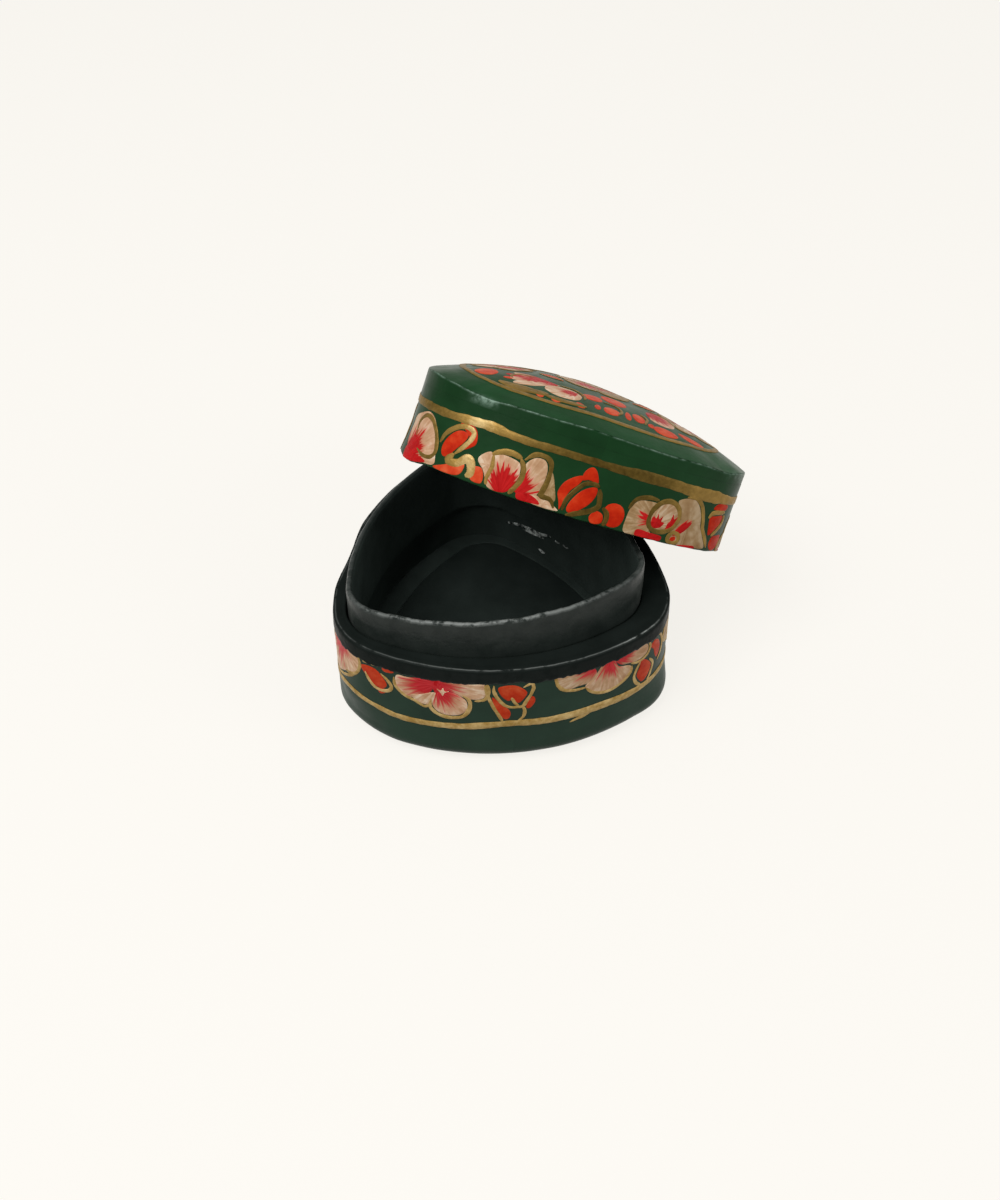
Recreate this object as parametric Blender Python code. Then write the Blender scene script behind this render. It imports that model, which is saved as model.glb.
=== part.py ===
"""Papier-mache box with a lift-off lid, standing open with the lid set askew.

The plan is a soft rounded triangle: three bulging sides that meet in three round corners, with
one side to the front and one corner to the back. The base is a wall round a floor. A thin collar
glued inside the wall stands above it and leaves a ledge all round. The lid is a wall with a
domed crown, and it fits over the collar when the box is closed. Here the lid leans back over the
rear right of the base, hooked over the back corner, and rests on the collar.
Metres, Z up, the front side towards -Y, the table at z = 0.
"""
import bpy
import bmesh
import math
from mathutils import Matrix, Vector
from mathutils.bvhtree import BVHTree

# Plan of the box
FRONT_CHORD = 0.0405          # between the centres of the two front corners
PLAN_DEPTH = 0.0409           # from that line to the centre of the back corner
FRONT_BULGE = 0.0061          # how far the front side bows out of its chord
SIDE_BULGE = 0.0049           # the same for the two other sides
CORNER_RADIUS = 0.0172
STEPS_PER_SIDE = 18
STEPS_PER_CORNER = 12

# Base
WALL_HEIGHT = 0.0279
LEDGE_WIDTH = 0.0051          # mean width of the ledge outside the collar
BOTTOM_ROUND = 0.0042
FOOT_REACH = 0.0085           # how far the wall turns in under the box, where it meets the floor
WALL_EDGE_ROUND = 0.0006
FLOOR_THICK = 0.0026

# Collar
COLLAR_THICK = 0.0015
COLLAR_STAND = 0.0077         # mean height above the ledge
COLLAR_FOOT = 0.0135          # the strip's lower edge above the table
COLLAR_SLOPE_X = 0.064        # the hand-cut rim climbs to the right
COLLAR_SLOPE_Y = -0.064       # and drops a little to the back
COLLAR_SHIFT_X = -0.0018      # the strip sits off centre, to the left
COLLAR_EDGE_ROUND = 0.0005

# Lid
LID_SIDE_HEIGHT = 0.0186      # rim to the sharp edge under the crown
CROWN_THICK = 0.0026
CROWN_RISE = 0.0075
CROWN_EDGE_ROUND = 0.0004
LID_EDGE_ROUND = 0.0005
CROWN_RINGS = 14

# Where the lid lies
LID_LEAN = math.radians(34.1)         # between its axis and the vertical
LID_LEAN_HEADING = math.radians(51.2)  # the way it leans, from +X towards +Y
LID_TURN = math.radians(-3.3)         # turn about its own axis
LID_X = 0.0148
LID_Y = 0.0162

# Clearances
GLUE_GAP = 0.0003             # between glued neighbours
REST_GAP = 0.0003             # between the lid and what it rests on
CLOSING_GAP = 0.0005          # lid wall to collar at its nearest, when the box is closed

# The lid's wall is as thick as the ledge leaves room for
LID_WALL_THICK = LEDGE_WIDTH - abs(COLLAR_SHIFT_X) - CLOSING_GAP

COLOURS = {
    "base_wall": (0.020, 0.045, 0.028, 1.0),
    "base_floor": (0.006, 0.008, 0.008, 1.0),
    "collar": (0.007, 0.010, 0.009, 1.0),
    "lid_wall": (0.012, 0.075, 0.028, 1.0),
    "lid_crown": (0.014, 0.090, 0.032, 1.0),
}


def clear_file():
    for item in list(bpy.data.objects):
        bpy.data.objects.remove(item, do_unlink=True)
    for group in list(bpy.data.collections):
        bpy.data.collections.remove(group)
    for store in (bpy.data.meshes, bpy.data.curves, bpy.data.materials):
        for item in list(store):
            store.remove(item)


def arc(centre, radius, start, sweep, steps):
    points = []
    for i in range(steps):
        a = start + sweep * i / steps
        points.append((centre[0] + radius * math.cos(a), centre[1] + radius * math.sin(a)))
    return points


def plan(inset=0.0):
    """The plan outline, counter-clockwise, drawn in by the inset all round."""
    corners = [
        (-FRONT_CHORD / 2, -PLAN_DEPTH / 3),
        (FRONT_CHORD / 2, -PLAN_DEPTH / 3),
        (0.0, 2 * PLAN_DEPTH / 3),
    ]
    bulges = [FRONT_BULGE, SIDE_BULGE, SIDE_BULGE]
    sides = []
    for i in range(3):
        a = corners[i]
        b = corners[(i + 1) % 3]
        length = math.hypot(b[0] - a[0], b[1] - a[1])
        radius = (length * length / 4 + bulges[i] ** 2) / (2 * bulges[i])
        along = ((b[0] - a[0]) / length, (b[1] - a[1]) / length)
        back = radius - bulges[i]
        centre = ((a[0] + b[0]) / 2 - along[1] * back, (a[1] + b[1]) / 2 + along[0] * back)
        start = math.atan2(a[1] - centre[1], a[0] - centre[0])
        end = math.atan2(b[1] - centre[1], b[0] - centre[0])
        sides.append((centre, radius, start, (end - start) % (2 * math.pi)))
    points = []
    corner_radius = CORNER_RADIUS - inset
    for i in range(3):
        centre, radius, start, sweep = sides[i]
        points += arc(centre, radius + corner_radius, start, sweep, STEPS_PER_SIDE)
        turn_from = start + sweep
        turn_by = (sides[(i + 1) % 3][2] - turn_from) % (2 * math.pi)
        points += arc(corners[(i + 1) % 3], corner_radius, turn_from, turn_by, STEPS_PER_CORNER)
    return points


def rounded_section(corners, steps=4):
    """A closed section in (inset, height), each corner given as x, z, rounding radius."""
    points = []
    count = len(corners)
    for i in range(count):
        x, z, radius = corners[i]
        if radius <= 0:
            points.append((x, z))
            continue
        before = Vector(corners[i - 1][:2]) - Vector((x, z))
        after = Vector(corners[(i + 1) % count][:2]) - Vector((x, z))
        before.normalize()
        after.normalize()
        reach = radius / math.tan(before.angle(after) / 2)
        first = Vector((x, z)) + before * reach
        last = Vector((x, z)) + after * reach
        middle = Vector((x, z)) + (before + after).normalized() * math.hypot(radius, reach)
        for k in range(steps + 1):
            t = k / steps
            spoke = (first - middle).lerp(last - middle, t).normalized() * radius
            points.append((middle.x + spoke.x, middle.y + spoke.y))
    return points


def curve_object(name, points, group, filled=False):
    data = bpy.data.curves.new(name, "CURVE")
    data.dimensions = "2D"
    data.fill_mode = "BOTH" if filled else "NONE"
    spline = data.splines.new("POLY")
    spline.points.add(len(points) - 1)
    for i, point in enumerate(points):
        spline.points[i].co = (point[0], point[1], 0.0, 1.0)
    spline.use_cyclic_u = True
    item = bpy.data.objects.new(name, data)
    group.objects.link(item)
    return item


def to_mesh(item, name, group):
    """The curve turned into a closed mesh, with its faces outward."""
    bpy.context.view_layer.update()
    solid = item.evaluated_get(bpy.context.evaluated_depsgraph_get())
    mesh = bpy.data.meshes.new_from_object(solid)
    mesh.name = name
    tidy(mesh)
    made = bpy.data.objects.new(name, mesh)
    group.objects.link(made)
    bpy.data.objects.remove(item, do_unlink=True)
    return made


def tidy(mesh):
    work = bmesh.new()
    work.from_mesh(mesh)
    bmesh.ops.remove_doubles(work, verts=work.verts, dist=0.000002)
    bmesh.ops.recalc_face_normals(work, faces=work.faces)
    for face in work.faces:
        face.smooth = False
    work.to_mesh(mesh)
    work.free()


def sweep(name, section, group):
    """A closed section carried round the plan on a curve."""
    profile = curve_object(name + "_section", section, CUTTERS)
    path = curve_object(name + "_path", plan(), group)
    path.data.bevel_mode = "OBJECT"
    path.data.bevel_object = profile
    made = to_mesh(path, name, group)
    bpy.data.objects.remove(profile, do_unlink=True)
    return made


def plate(name, inset, low, high, group):
    """A flat plate cut to the plan."""
    item = curve_object(name + "_outline", plan(inset), group, filled=True)
    item.data.extrude = (high - low) / 2
    made = to_mesh(item, name, group)
    made.data.transform(Matrix.Translation((0, 0, (high + low) / 2)))
    return made


def shift(item, x=0.0, y=0.0):
    item.data.transform(Matrix.Translation((x, y, 0)))


def move_inner_face(item, beyond, by):
    """Slides the wall's inner face sideways, so the wall is thicker on one side. Its foot stays."""
    outer = plan()
    for vert in item.data.vertices:
        inset = min(distance_to_edge(vert.co, outer[i - 1], outer[i]) for i in range(len(outer)))
        if beyond < inset < LEDGE_WIDTH and vert.co.z > FLOOR_THICK / 2:
            vert.co.x += by


def distance_to_edge(point, start, end):
    dx = end[0] - start[0]
    dy = end[1] - start[1]
    t = ((point[0] - start[0]) * dx + (point[1] - start[1]) * dy) / (dx * dx + dy * dy)
    t = min(max(t, 0.0), 1.0)
    return math.hypot(point[0] - start[0] - t * dx, point[1] - start[1] - t * dy)


def slope_rim(item):
    """The top of the strip follows the hand-cut slope; its foot stays level."""
    middle = (COLLAR_FOOT + WALL_HEIGHT) / 2
    for vert in item.data.vertices:
        if vert.co.z > middle:
            vert.co.z += COLLAR_SLOPE_X * vert.co.x + COLLAR_SLOPE_Y * vert.co.y


def dome(name, group):
    """The crown: a low pillow over the plan, hollowed to an even thickness inside the wall."""
    outline = plan()
    base = LID_SIDE_HEIGHT - CROWN_THICK
    land = 1.0 - LID_WALL_THICK / (PLAN_DEPTH / 3 + CORNER_RADIUS)
    levels = [(1.0, base), (1.0, LID_SIDE_HEIGHT - CROWN_EDGE_ROUND)]
    edge = 1.0 - CROWN_EDGE_ROUND / (PLAN_DEPTH / 3 + CORNER_RADIUS)
    upper = []
    for i in range(CROWN_RINGS):
        upper.append(edge * math.cos(0.5 * math.pi * i / CROWN_RINGS))
    levels += [(s, LID_SIDE_HEIGHT + CROWN_RISE * (1 - s * s)) for s in upper]
    lower = [land * math.cos(0.5 * math.pi * i / CROWN_RINGS) for i in range(CROWN_RINGS)]
    under = [(s, base + CROWN_RISE * (1 - (s / land) ** 2)) for s in lower]
    work = bmesh.new()

    def ring(scale, z):
        return [work.verts.new((x * scale, y * scale, z)) for x, y in outline]

    def skin(first, second):
        count = len(first)
        for i in range(count):
            k = (i + 1) % count
            work.faces.new((first[i], first[k], second[k], second[i]))

    rings = [ring(s, z) for s, z in levels]
    for first, second in zip(rings, rings[1:]):
        skin(first, second)
    cap(work, rings[-1], LID_SIDE_HEIGHT + CROWN_RISE)
    inner = [ring(s, z) for s, z in under]
    skin(inner[0], rings[0])
    for first, second in zip(inner, inner[1:]):
        skin(second, first)
    cap(work, inner[-1], base + CROWN_RISE)
    bmesh.ops.recalc_face_normals(work, faces=work.faces)
    mesh = bpy.data.meshes.new(name)
    work.to_mesh(mesh)
    work.free()
    made = bpy.data.objects.new(name, mesh)
    group.objects.link(made)
    return made


def cap(work, ring, height):
    middle = work.verts.new((0.0, 0.0, height))
    for i in range(len(ring)):
        work.faces.new((ring[i], ring[(i + 1) % len(ring)], middle))


def gathered(items, offset):
    """The meshes of several parts as one tree, with points along their edges."""
    points = []
    faces = []
    samples = []
    for item in items:
        first = len(points)
        points += [vert.co + offset for vert in item.data.vertices]
        faces += [[first + k for k in face.vertices] for face in item.data.polygons]
        for edge in item.data.edges:
            a = points[first + edge.vertices[0]]
            b = points[first + edge.vertices[1]]
            samples += [a, a.lerp(b, 0.25), a.lerp(b, 0.5), a.lerp(b, 0.75)]
    return BVHTree.FromPolygons(points, faces), samples


def lowered(upper, lower, x, y):
    """The height at which the upper parts, let down from above, come to rest."""
    start = 0.2
    down = Vector((0, 0, -1))
    up = Vector((0, 0, 1))
    upper_tree, upper_samples = gathered(upper, Vector((x, y, start)))
    lower_tree, lower_samples = gathered(lower, Vector((0, 0, 0)))
    drop = min(point.z for point in upper_samples)
    for point in upper_samples:
        hit = lower_tree.ray_cast(point, down)
        if hit[0] is not None:
            drop = min(drop, hit[3])
    for point in lower_samples:
        hit = upper_tree.ray_cast(point, up)
        if hit[0] is not None:
            drop = min(drop, hit[3])
    return start - drop + REST_GAP


def paint(item):
    material = bpy.data.materials.new(item.name)
    material.use_nodes = True
    shader = material.node_tree.nodes["Principled BSDF"]
    shader.inputs["Base Color"].default_value = COLOURS[item.name]
    shader.inputs["Roughness"].default_value = 0.3
    material.diffuse_color = COLOURS[item.name]
    item.data.materials.clear()
    item.data.materials.append(material)


clear_file()
PARTS = bpy.data.collections.new("papier_mache_box")
CUTTERS = bpy.data.collections.new("cutters")
bpy.context.scene.collection.children.link(PARTS)
bpy.context.scene.collection.children.link(CUTTERS)

# Base wall, its inner face set off centre with the collar that is glued to it
wall_section = rounded_section([
    (0.0, 0.0, BOTTOM_ROUND),
    (FOOT_REACH - GLUE_GAP, 0.0, 0.0),
    (FOOT_REACH - GLUE_GAP, FLOOR_THICK, 0.0),
    (LEDGE_WIDTH - GLUE_GAP, FLOOR_THICK, 0.0),
    (LEDGE_WIDTH - GLUE_GAP, WALL_HEIGHT, WALL_EDGE_ROUND),
    (0.0, WALL_HEIGHT, WALL_EDGE_ROUND),
])
base_wall = sweep("base_wall", wall_section, PARTS)
move_inner_face(base_wall, (LEDGE_WIDTH + WALL_EDGE_ROUND) / 2, COLLAR_SHIFT_X)

# Floor, inside the foot of the wall
base_floor = plate("base_floor", FOOT_REACH, 0.0, FLOOR_THICK, PARTS)

# Collar, glued to the wall's inner face, with a rim that isn't quite level
collar = sweep("collar", rounded_section([
    (LEDGE_WIDTH, COLLAR_FOOT, 0.0003),
    (LEDGE_WIDTH + COLLAR_THICK, COLLAR_FOOT, 0.0003),
    (LEDGE_WIDTH + COLLAR_THICK, WALL_HEIGHT + COLLAR_STAND, COLLAR_EDGE_ROUND),
    (LEDGE_WIDTH, WALL_HEIGHT + COLLAR_STAND, COLLAR_EDGE_ROUND),
]), PARTS)
shift(collar, COLLAR_SHIFT_X)
slope_rim(collar)

# Lid wall, in the lid's own frame: its rim at z = 0
lid_wall = sweep("lid_wall", rounded_section([
    (0.0, 0.0, LID_EDGE_ROUND),
    (LID_WALL_THICK, 0.0, LID_EDGE_ROUND),
    (LID_WALL_THICK, LID_SIDE_HEIGHT - CROWN_THICK - GLUE_GAP, 0.0),
    (0.0, LID_SIDE_HEIGHT - CROWN_THICK - GLUE_GAP, 0.0),
]), PARTS)

# Lid crown, glued on the wall
lid_crown = dome("lid_crown", PARTS)

# The lid laid on the base: turned, leant, then lowered until it rests
lean_axis = Vector((-math.sin(LID_LEAN_HEADING), math.cos(LID_LEAN_HEADING), 0.0))
turned = Matrix.Rotation(LID_LEAN, 4, lean_axis) @ Matrix.Rotation(LID_TURN, 4, "Z")
for item in (lid_wall, lid_crown):
    item.data.transform(turned)
seat = lowered([lid_wall, lid_crown], [base_wall, base_floor, collar], LID_X, LID_Y)

lift_axis = bpy.data.objects.new("lid_lift_axis", None)
lift_axis.empty_display_type = "SINGLE_ARROW"
lift_axis.empty_display_size = 0.03
lift_axis.location = (LID_X, LID_Y, seat)
PARTS.objects.link(lift_axis)
for item in (lid_wall, lid_crown):
    item.parent = lift_axis

for item in (base_wall, base_floor, collar, lid_wall, lid_crown):
    paint(item)

bpy.context.view_layer.update()
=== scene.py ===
"""Looks for the painted papier-mache box: lacquered green walls, a black lip, ledge and collar,
and a garland of cream, crimson and orange flowers lined in gold. Lengths here are millimetres
until a piece is finished; then its mesh is put in metres in the shared frame."""

from bisect import bisect_right
from functools import partial
from math import atan2, cos, hypot, pi, radians, sin, tanh

import bmesh
import bpy
from mathutils import Matrix, Vector, noise


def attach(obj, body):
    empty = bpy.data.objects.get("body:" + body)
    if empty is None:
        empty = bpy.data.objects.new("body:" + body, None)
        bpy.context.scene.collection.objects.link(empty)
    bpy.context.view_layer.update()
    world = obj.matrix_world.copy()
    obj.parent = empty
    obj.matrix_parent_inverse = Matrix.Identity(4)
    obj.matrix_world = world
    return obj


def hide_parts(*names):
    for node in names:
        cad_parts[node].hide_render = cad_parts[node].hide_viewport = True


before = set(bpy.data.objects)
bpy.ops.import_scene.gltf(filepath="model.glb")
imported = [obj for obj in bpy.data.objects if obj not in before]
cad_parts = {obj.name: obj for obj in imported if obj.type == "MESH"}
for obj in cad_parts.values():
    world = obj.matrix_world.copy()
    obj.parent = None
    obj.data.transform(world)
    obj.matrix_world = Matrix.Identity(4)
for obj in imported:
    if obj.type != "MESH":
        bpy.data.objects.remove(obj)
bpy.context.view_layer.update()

# Sizes shared with the solids, in millimetres
FRONT_CHORD, PLAN_DEPTH = 40.5, 40.9
FRONT_BULGE, SIDE_BULGE, CORNER = 6.1, 4.9, 17.2
WALL_HEIGHT, LEDGE, WALL_THICK, BOTTOM_ROUND = 27.9, 5.1, 4.8, 4.2
FOOT_REACH, FLOOR_THICK = 8.2, 2.6
COLLAR_THICK, COLLAR_TOP, COLLAR_FOOT, COLLAR_SHIFT = 1.5, 35.6, 13.5, -1.8
SLOPE_X, SLOPE_Y = 0.064, -0.064
LID_SIDE, LID_THICK, CROWN_THICK, CROWN_RISE = 18.6, 2.8, 2.6, 7.5
LIP = 24.15                   # lower edge of the black lip
DIRECTIONS = 1440             # of the table that finds the plan's radius
RING_STEPS = 460              # columns round a wall or the crown

# How the lid lies
LID_PLACE = Vector((14.8, 16.2, 34.19))
HEADING = radians(51.2)
LID_TURN = (
    Matrix.Rotation(radians(34.1), 4, Vector((-sin(HEADING), cos(HEADING), 0)))
    @ Matrix.Rotation(radians(-3.3), 4, "Z")
)

# The sharp edge under the crown rises and falls by hand: (s, lift)
ARRIS = [
    (-50, 0.4), (-44, 0.8), (-36, 0.3), (-30, -0.2), (-26, -0.4), (-20, 0.0), (-12, 0.3), (-4, 0.5),
    (6, 0.35), (15, 0.1), (24, 0.0), (31, -0.3), (38, 0.0), (50, 0.1),
]


# The plan outline, walked by arc length from the middle of the front
def plan_line():
    front = -PLAN_DEPTH / 3
    corners = [(-FRONT_CHORD / 2, front), (FRONT_CHORD / 2, front), (0, 2 * PLAN_DEPTH / 3)]
    sides = []
    for i, bulge in enumerate((FRONT_BULGE, SIDE_BULGE, SIDE_BULGE)):
        a, b = Vector(corners[i]), Vector(corners[(i + 1) % 3])
        length = (b - a).length
        radius = (length * length / 4 + bulge * bulge) / (2 * bulge)
        along = (b - a) / length
        centre = (a + b) / 2 + Vector((-along.y, along.x)) * (radius - bulge)
        start = atan2(a.y - centre.y, a.x - centre.x)
        turn = (atan2(b.y - centre.y, b.x - centre.x) - start) % (2 * pi)
        sides.append((centre, radius + CORNER, start, turn))
    points = []
    for i in range(3):
        centre, radius, start, turn = sides[i]
        bend = (sides[(i + 1) % 3][2] - start - turn) % (2 * pi)
        for middle, reach, begin, sweep in (
            (centre, radius, start, turn),
            (Vector(corners[(i + 1) % 3]), CORNER, start + turn, bend),
        ):
            steps = max(8, round(reach * sweep / 0.35))
            for k in range(steps):
                angle = begin + sweep * k / steps
                out = Vector((cos(angle), sin(angle)))
                points.append((middle + out * reach, out))
    return points


LINE = plan_line()
REACH = [0.0]
for k in range(len(LINE)):
    REACH.append(REACH[-1] + (LINE[(k + 1) % len(LINE)][0] - LINE[k][0]).length)
GIRTH = REACH[-1]
FRONT = next(REACH[k] for k in range(len(LINE)) if LINE[k][0].x >= 0)


def edge(s):
    """Point and outward direction of the plan, s millimetres to the right of the front's middle."""
    place = (s + FRONT) % GIRTH
    low = bisect_right(REACH, place, 1, len(LINE)) - 1
    part = (place - REACH[low]) / (REACH[low + 1] - REACH[low])
    a, b = LINE[low], LINE[(low + 1) % len(LINE)]
    return a[0].lerp(b[0], part), a[1].lerp(b[1], part).normalized()


def wander(s, z, scale, seed):
    """A smooth wander that closes round the box, between about -1 and 1."""
    angle = 2 * pi * s / GIRTH
    ring = GIRTH / (2 * pi * scale)
    place = (ring * cos(angle) + seed * 7.3, ring * sin(angle) - seed * 3.1, z / scale)
    return noise.noise(Vector(place))


def hand(s, z, seed):
    """The unevenness of the moulded wall: never outside the plan."""
    return 0.13 * wander(s, z, 14, seed) + 0.04 * wander(s, z, 4.5, seed + 1) - 0.12


def arris(s):
    """Height of the sharp edge under the crown."""
    s = (s + GIRTH / 2) % GIRTH - GIRTH / 2
    lift = 0.15 * wander(s, 0, 9, 51)
    for (a, first), (b, last) in zip(ARRIS, ARRIS[1:]):
        if a <= s < b:
            t = (s - a) / (b - a)
            return LID_SIDE + lift + first + (last - first) * t * t * (3 - 2 * t)
    return LID_SIDE + lift + 0.3


def swell(s, middle, reach):
    """1 at a place on the plan, falling to 0 at a reach to either side."""
    away = abs((s - middle + GIRTH / 2) % GIRTH - GIRTH / 2) / reach
    return (1 - away * away) ** 2 if away < 1 else 0.0


def belly(s, z):
    """Where the base is full at its right foot, drawn in at its left foot and dented at its left lip."""
    low, high = min(1.0, max(0.0, (11 - z) / 6)), min(1.0, z / 15)
    return 0.9 * swell(s, 41, 11) * low - 0.8 * swell(s, -37, 11) * low - 1.2 * swell(s, -68, 13) * high


def on_base(s, z, h):
    """A spot on the base's wall, or h outside it."""
    point, out = edge(s)
    skin = min(1.0, max(0.0, 1 - (-h - 0.7) / 4.1))
    point = point + out * (h + hand(s, z, 1) + belly(s, z) * skin)
    return Vector((point.x, point.y, z))


def on_lid(s, z, h):
    """A spot on the lid's wall; its rim hangs and flares a little at the left corner."""
    point, out = edge(s)
    point = point + out * (h + hand(s, z, 5) + 0.9 * swell(s, -48, 10) * max(0.0, 1 - z / 7))
    z -= 0.8 * swell(s, -43, 7) * max(0.0, 1 - z / 4)
    return LID_TURN @ Vector((point.x, point.y, z)) + LID_PLACE


def outline_table():
    """Radius of the plan and the place s on it, for all directions from its middle."""
    table = []
    walk = sorted(
        (atan2(p.y, p.x) % (2 * pi), p.length, REACH[k] - FRONT) for k, (p, out) in enumerate(LINE)
    )
    k = 0
    for i in range(DIRECTIONS):
        angle = 2 * pi * i / DIRECTIONS
        while k < len(walk) and walk[k][0] < angle:
            k += 1
        a, b = walk[k - 1], walk[k % len(walk)]
        gap = (b[0] - a[0]) % (2 * pi)
        part = ((angle - a[0]) % (2 * pi)) / gap if gap > 1e-9 else 0
        table.append((a[1] + (b[1] - a[1]) * part, a[2]))
    return table


OUTLINE = outline_table()


def toward(x, y):
    """Radius of the plan and the place s on it in one direction."""
    turn = (atan2(y, x) % (2 * pi)) / (2 * pi)
    return OUTLINE[round(turn * DIRECTIONS) % DIRECTIONS]


def crown_height(x, y):
    """Height of the pillow over a spot of the lid's plan."""
    radius, s = toward(x, y)
    far = min(hypot(x, y) / radius, 1.0)
    lift = (arris(s) - LID_SIDE) * far**5 - 0.1
    dents = 0.15 * noise.noise(Vector((x / 11, y / 11, 4.2)))
    return LID_SIDE + lift + 0.93 * CROWN_RISE * (1 - far**2.25) + dents * (1 - far**8)


def on_crown(x, y, h):
    """A spot h above the pillow, along its slope."""
    step = 0.4
    z = crown_height(x, y)
    slope = Vector((
        crown_height(x - step, y) - crown_height(x + step, y),
        crown_height(x, y - step) - crown_height(x, y + step),
        2 * step,
    )).normalized()
    return LID_TURN @ (Vector((x, y, z)) + slope * h) + LID_PLACE


# Materials
def feed(socket, value):
    """Gives a socket a constant, or links it to another node's output."""
    if isinstance(value, bpy.types.NodeSocket):
        socket.id_data.links.new(value, socket)
    else:
        socket.default_value = (*value, 1) if isinstance(value, tuple) else value


def node_by(other, kind, **values):
    """A new node in the tree of another node or socket, with some of its inputs fed."""
    node = other.id_data.nodes.new(kind)
    for key, value in values.items():
        feed(node.inputs[key], value)
    return node


def noise_on(place, detail, rough):
    return node_by(
        place, "ShaderNodeTexNoise", Vector=place, Scale=1.0, Detail=detail, Roughness=rough
    ).outputs["Fac"]


def grain(coords, size, detail=3.0, rough=0.55, stretch=(1, 1, 1)):
    """Noise of a given size in millimetres on the given coordinates."""
    scaled = node_by(coords, "ShaderNodeMapping", Vector=coords, Scale=[1000 / size * v for v in stretch])
    return noise_on(scaled.outputs["Vector"], detail, rough)


def ramp(value, *stops):
    """A colour ramp; each stop is (place, colour) or (place, grey)."""
    node = node_by(value, "ShaderNodeValToRGB", Fac=value)
    marks = node.color_ramp.elements
    while len(marks) < len(stops):
        marks.new(0.5)
    for mark, (place, colour) in zip(marks, stops):
        mark.position = place
        mark.color = (*colour, 1) if isinstance(colour, tuple) else (colour, colour, colour, 1)
    return node.outputs["Color"]


def mixed(factor, first, second):
    """The first colour where the factor is 0 and the second where it is 1."""
    node = node_by(factor, "ShaderNodeMix")
    node.data_type = "RGBA"
    feed(node.inputs["Factor"], factor)
    feed(node.inputs[6], first)
    feed(node.inputs[7], second)
    return node.outputs[2]


def maths(kind, first, second, clamp=False):
    node = node_by(first, "ShaderNodeMath")
    node.operation, node.use_clamp = kind, clamp
    feed(node.inputs[0], first)
    feed(node.inputs[1], second)
    return node.outputs[0]


times, plus, minus = (partial(maths, kind) for kind in ("MULTIPLY", "ADD", "SUBTRACT"))


def mapped(bsdf, kind):
    return node_by(bsdf, "ShaderNodeTexCoord").outputs[kind]


def stored(bsdf, name):
    """A value that the mesh carries at its points."""
    node = node_by(bsdf, "ShaderNodeAttribute")
    node.attribute_name = name
    return node.outputs["Fac"]


def shader(name, shine):
    made = bpy.data.materials.new(name)
    made.use_nodes = True
    bsdf = made.node_tree.nodes["Principled BSDF"]
    feed(bsdf.inputs["Specular IOR Level"], shine)
    return made, bsdf, mapped(bsdf, "Object")


def coated(made, bsdf, colour, rough, relief, depth, strength):
    feed(bsdf.inputs["Base Color"], colour)
    feed(bsdf.inputs["Roughness"], rough)
    bump = node_by(bsdf, "ShaderNodeBump", Strength=strength, Distance=depth, Height=relief)
    feed(bsdf.inputs["Normal"], bump.outputs["Normal"])
    return made


def green_lacquer(name, deep, mid, pale, scuff_and_highlight_colour, shine):
    """Brushed green paint under a thin gloss, made pale where its edge mark says: wear and a painted
    highlight along edges.
    """
    made, bsdf, place = shader(name, shine)
    strokes = grain(mapped(bsdf, "UV"), 160, 4, 0.6, (1, 9, 1))
    blend = plus(times(strokes, 0.55), times(grain(place, 9, 4), 0.45))
    body = ramp(blend, (0.36, deep), (0.5, mid), (0.68, pale))
    rub_and_highlight = ramp(grain(place, 3.2, 5, 0.65), (0.36, 0.0), (0.58, 1.0))
    fine = ramp(grain(place, 1.1, 3, 0.6), (0.36, 0.25), (0.56, 1.0))
    scuff_and_highlight = times(times(stored(bsdf, "wear_and_highlight"), rub_and_highlight), fine, True)
    rough = ramp(grain(place, 3.5, 4), (0.3, 0.28), (0.75, 0.40))
    relief = plus(times(strokes, 0.5), grain(place, 2.6, 3, 0.5))
    return coated(made, bsdf, mixed(scuff_and_highlight, body, scuff_and_highlight_colour), rough, relief, 0.00012, 0.5)


def black_gloss(name, tone, rough, shine, grit, mark="wear_and_highlight", bare=0.42, scuff_and_highlight_grey=0.20, patch=1.9):
    """Thick black paint, made pale where its mark says for scuffs and painted highlights, and clouded paler
    grey in places as a painted sheen.
    """
    made, bsdf, place = shader(name, shine)
    fleck = ramp(grain(place, patch, 4, 0.65), (bare, 0.0), (bare + 0.16, 1.0))
    scuff_and_highlight = times(stored(bsdf, mark), fleck, True)
    deep, pale = (tone * 0.8, tone * 1.08, tone * 0.96), (tone * 1.15, tone * 1.52, tone * 1.36)
    body = ramp(grain(place, 7, 3), (0.3, deep), (0.7, pale))
    # Painted sheen: paler grey clouds where the mesh's sheen mark says.
    cloud = ramp(grain(place, 3.6, 4, 0.6), (0.34, 0.0), (0.62, 1.0))
    body = mixed(times(stored(bsdf, "painted_sheen"), cloud, True), body, (0.062, 0.070, 0.064))
    colour = mixed(scuff_and_highlight, body, (scuff_and_highlight_grey, scuff_and_highlight_grey * 1.07, scuff_and_highlight_grey * 1.02))
    gloss = ramp(grain(place, 2.6, 3), (0.3, rough * 0.85), (0.8, rough * 1.2))
    relief = plus(grain(place, 3.2, 3, 0.5), times(fleck, 0.25))
    return coated(made, bsdf, colour, gloss, relief, 0.0003, grit)


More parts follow.
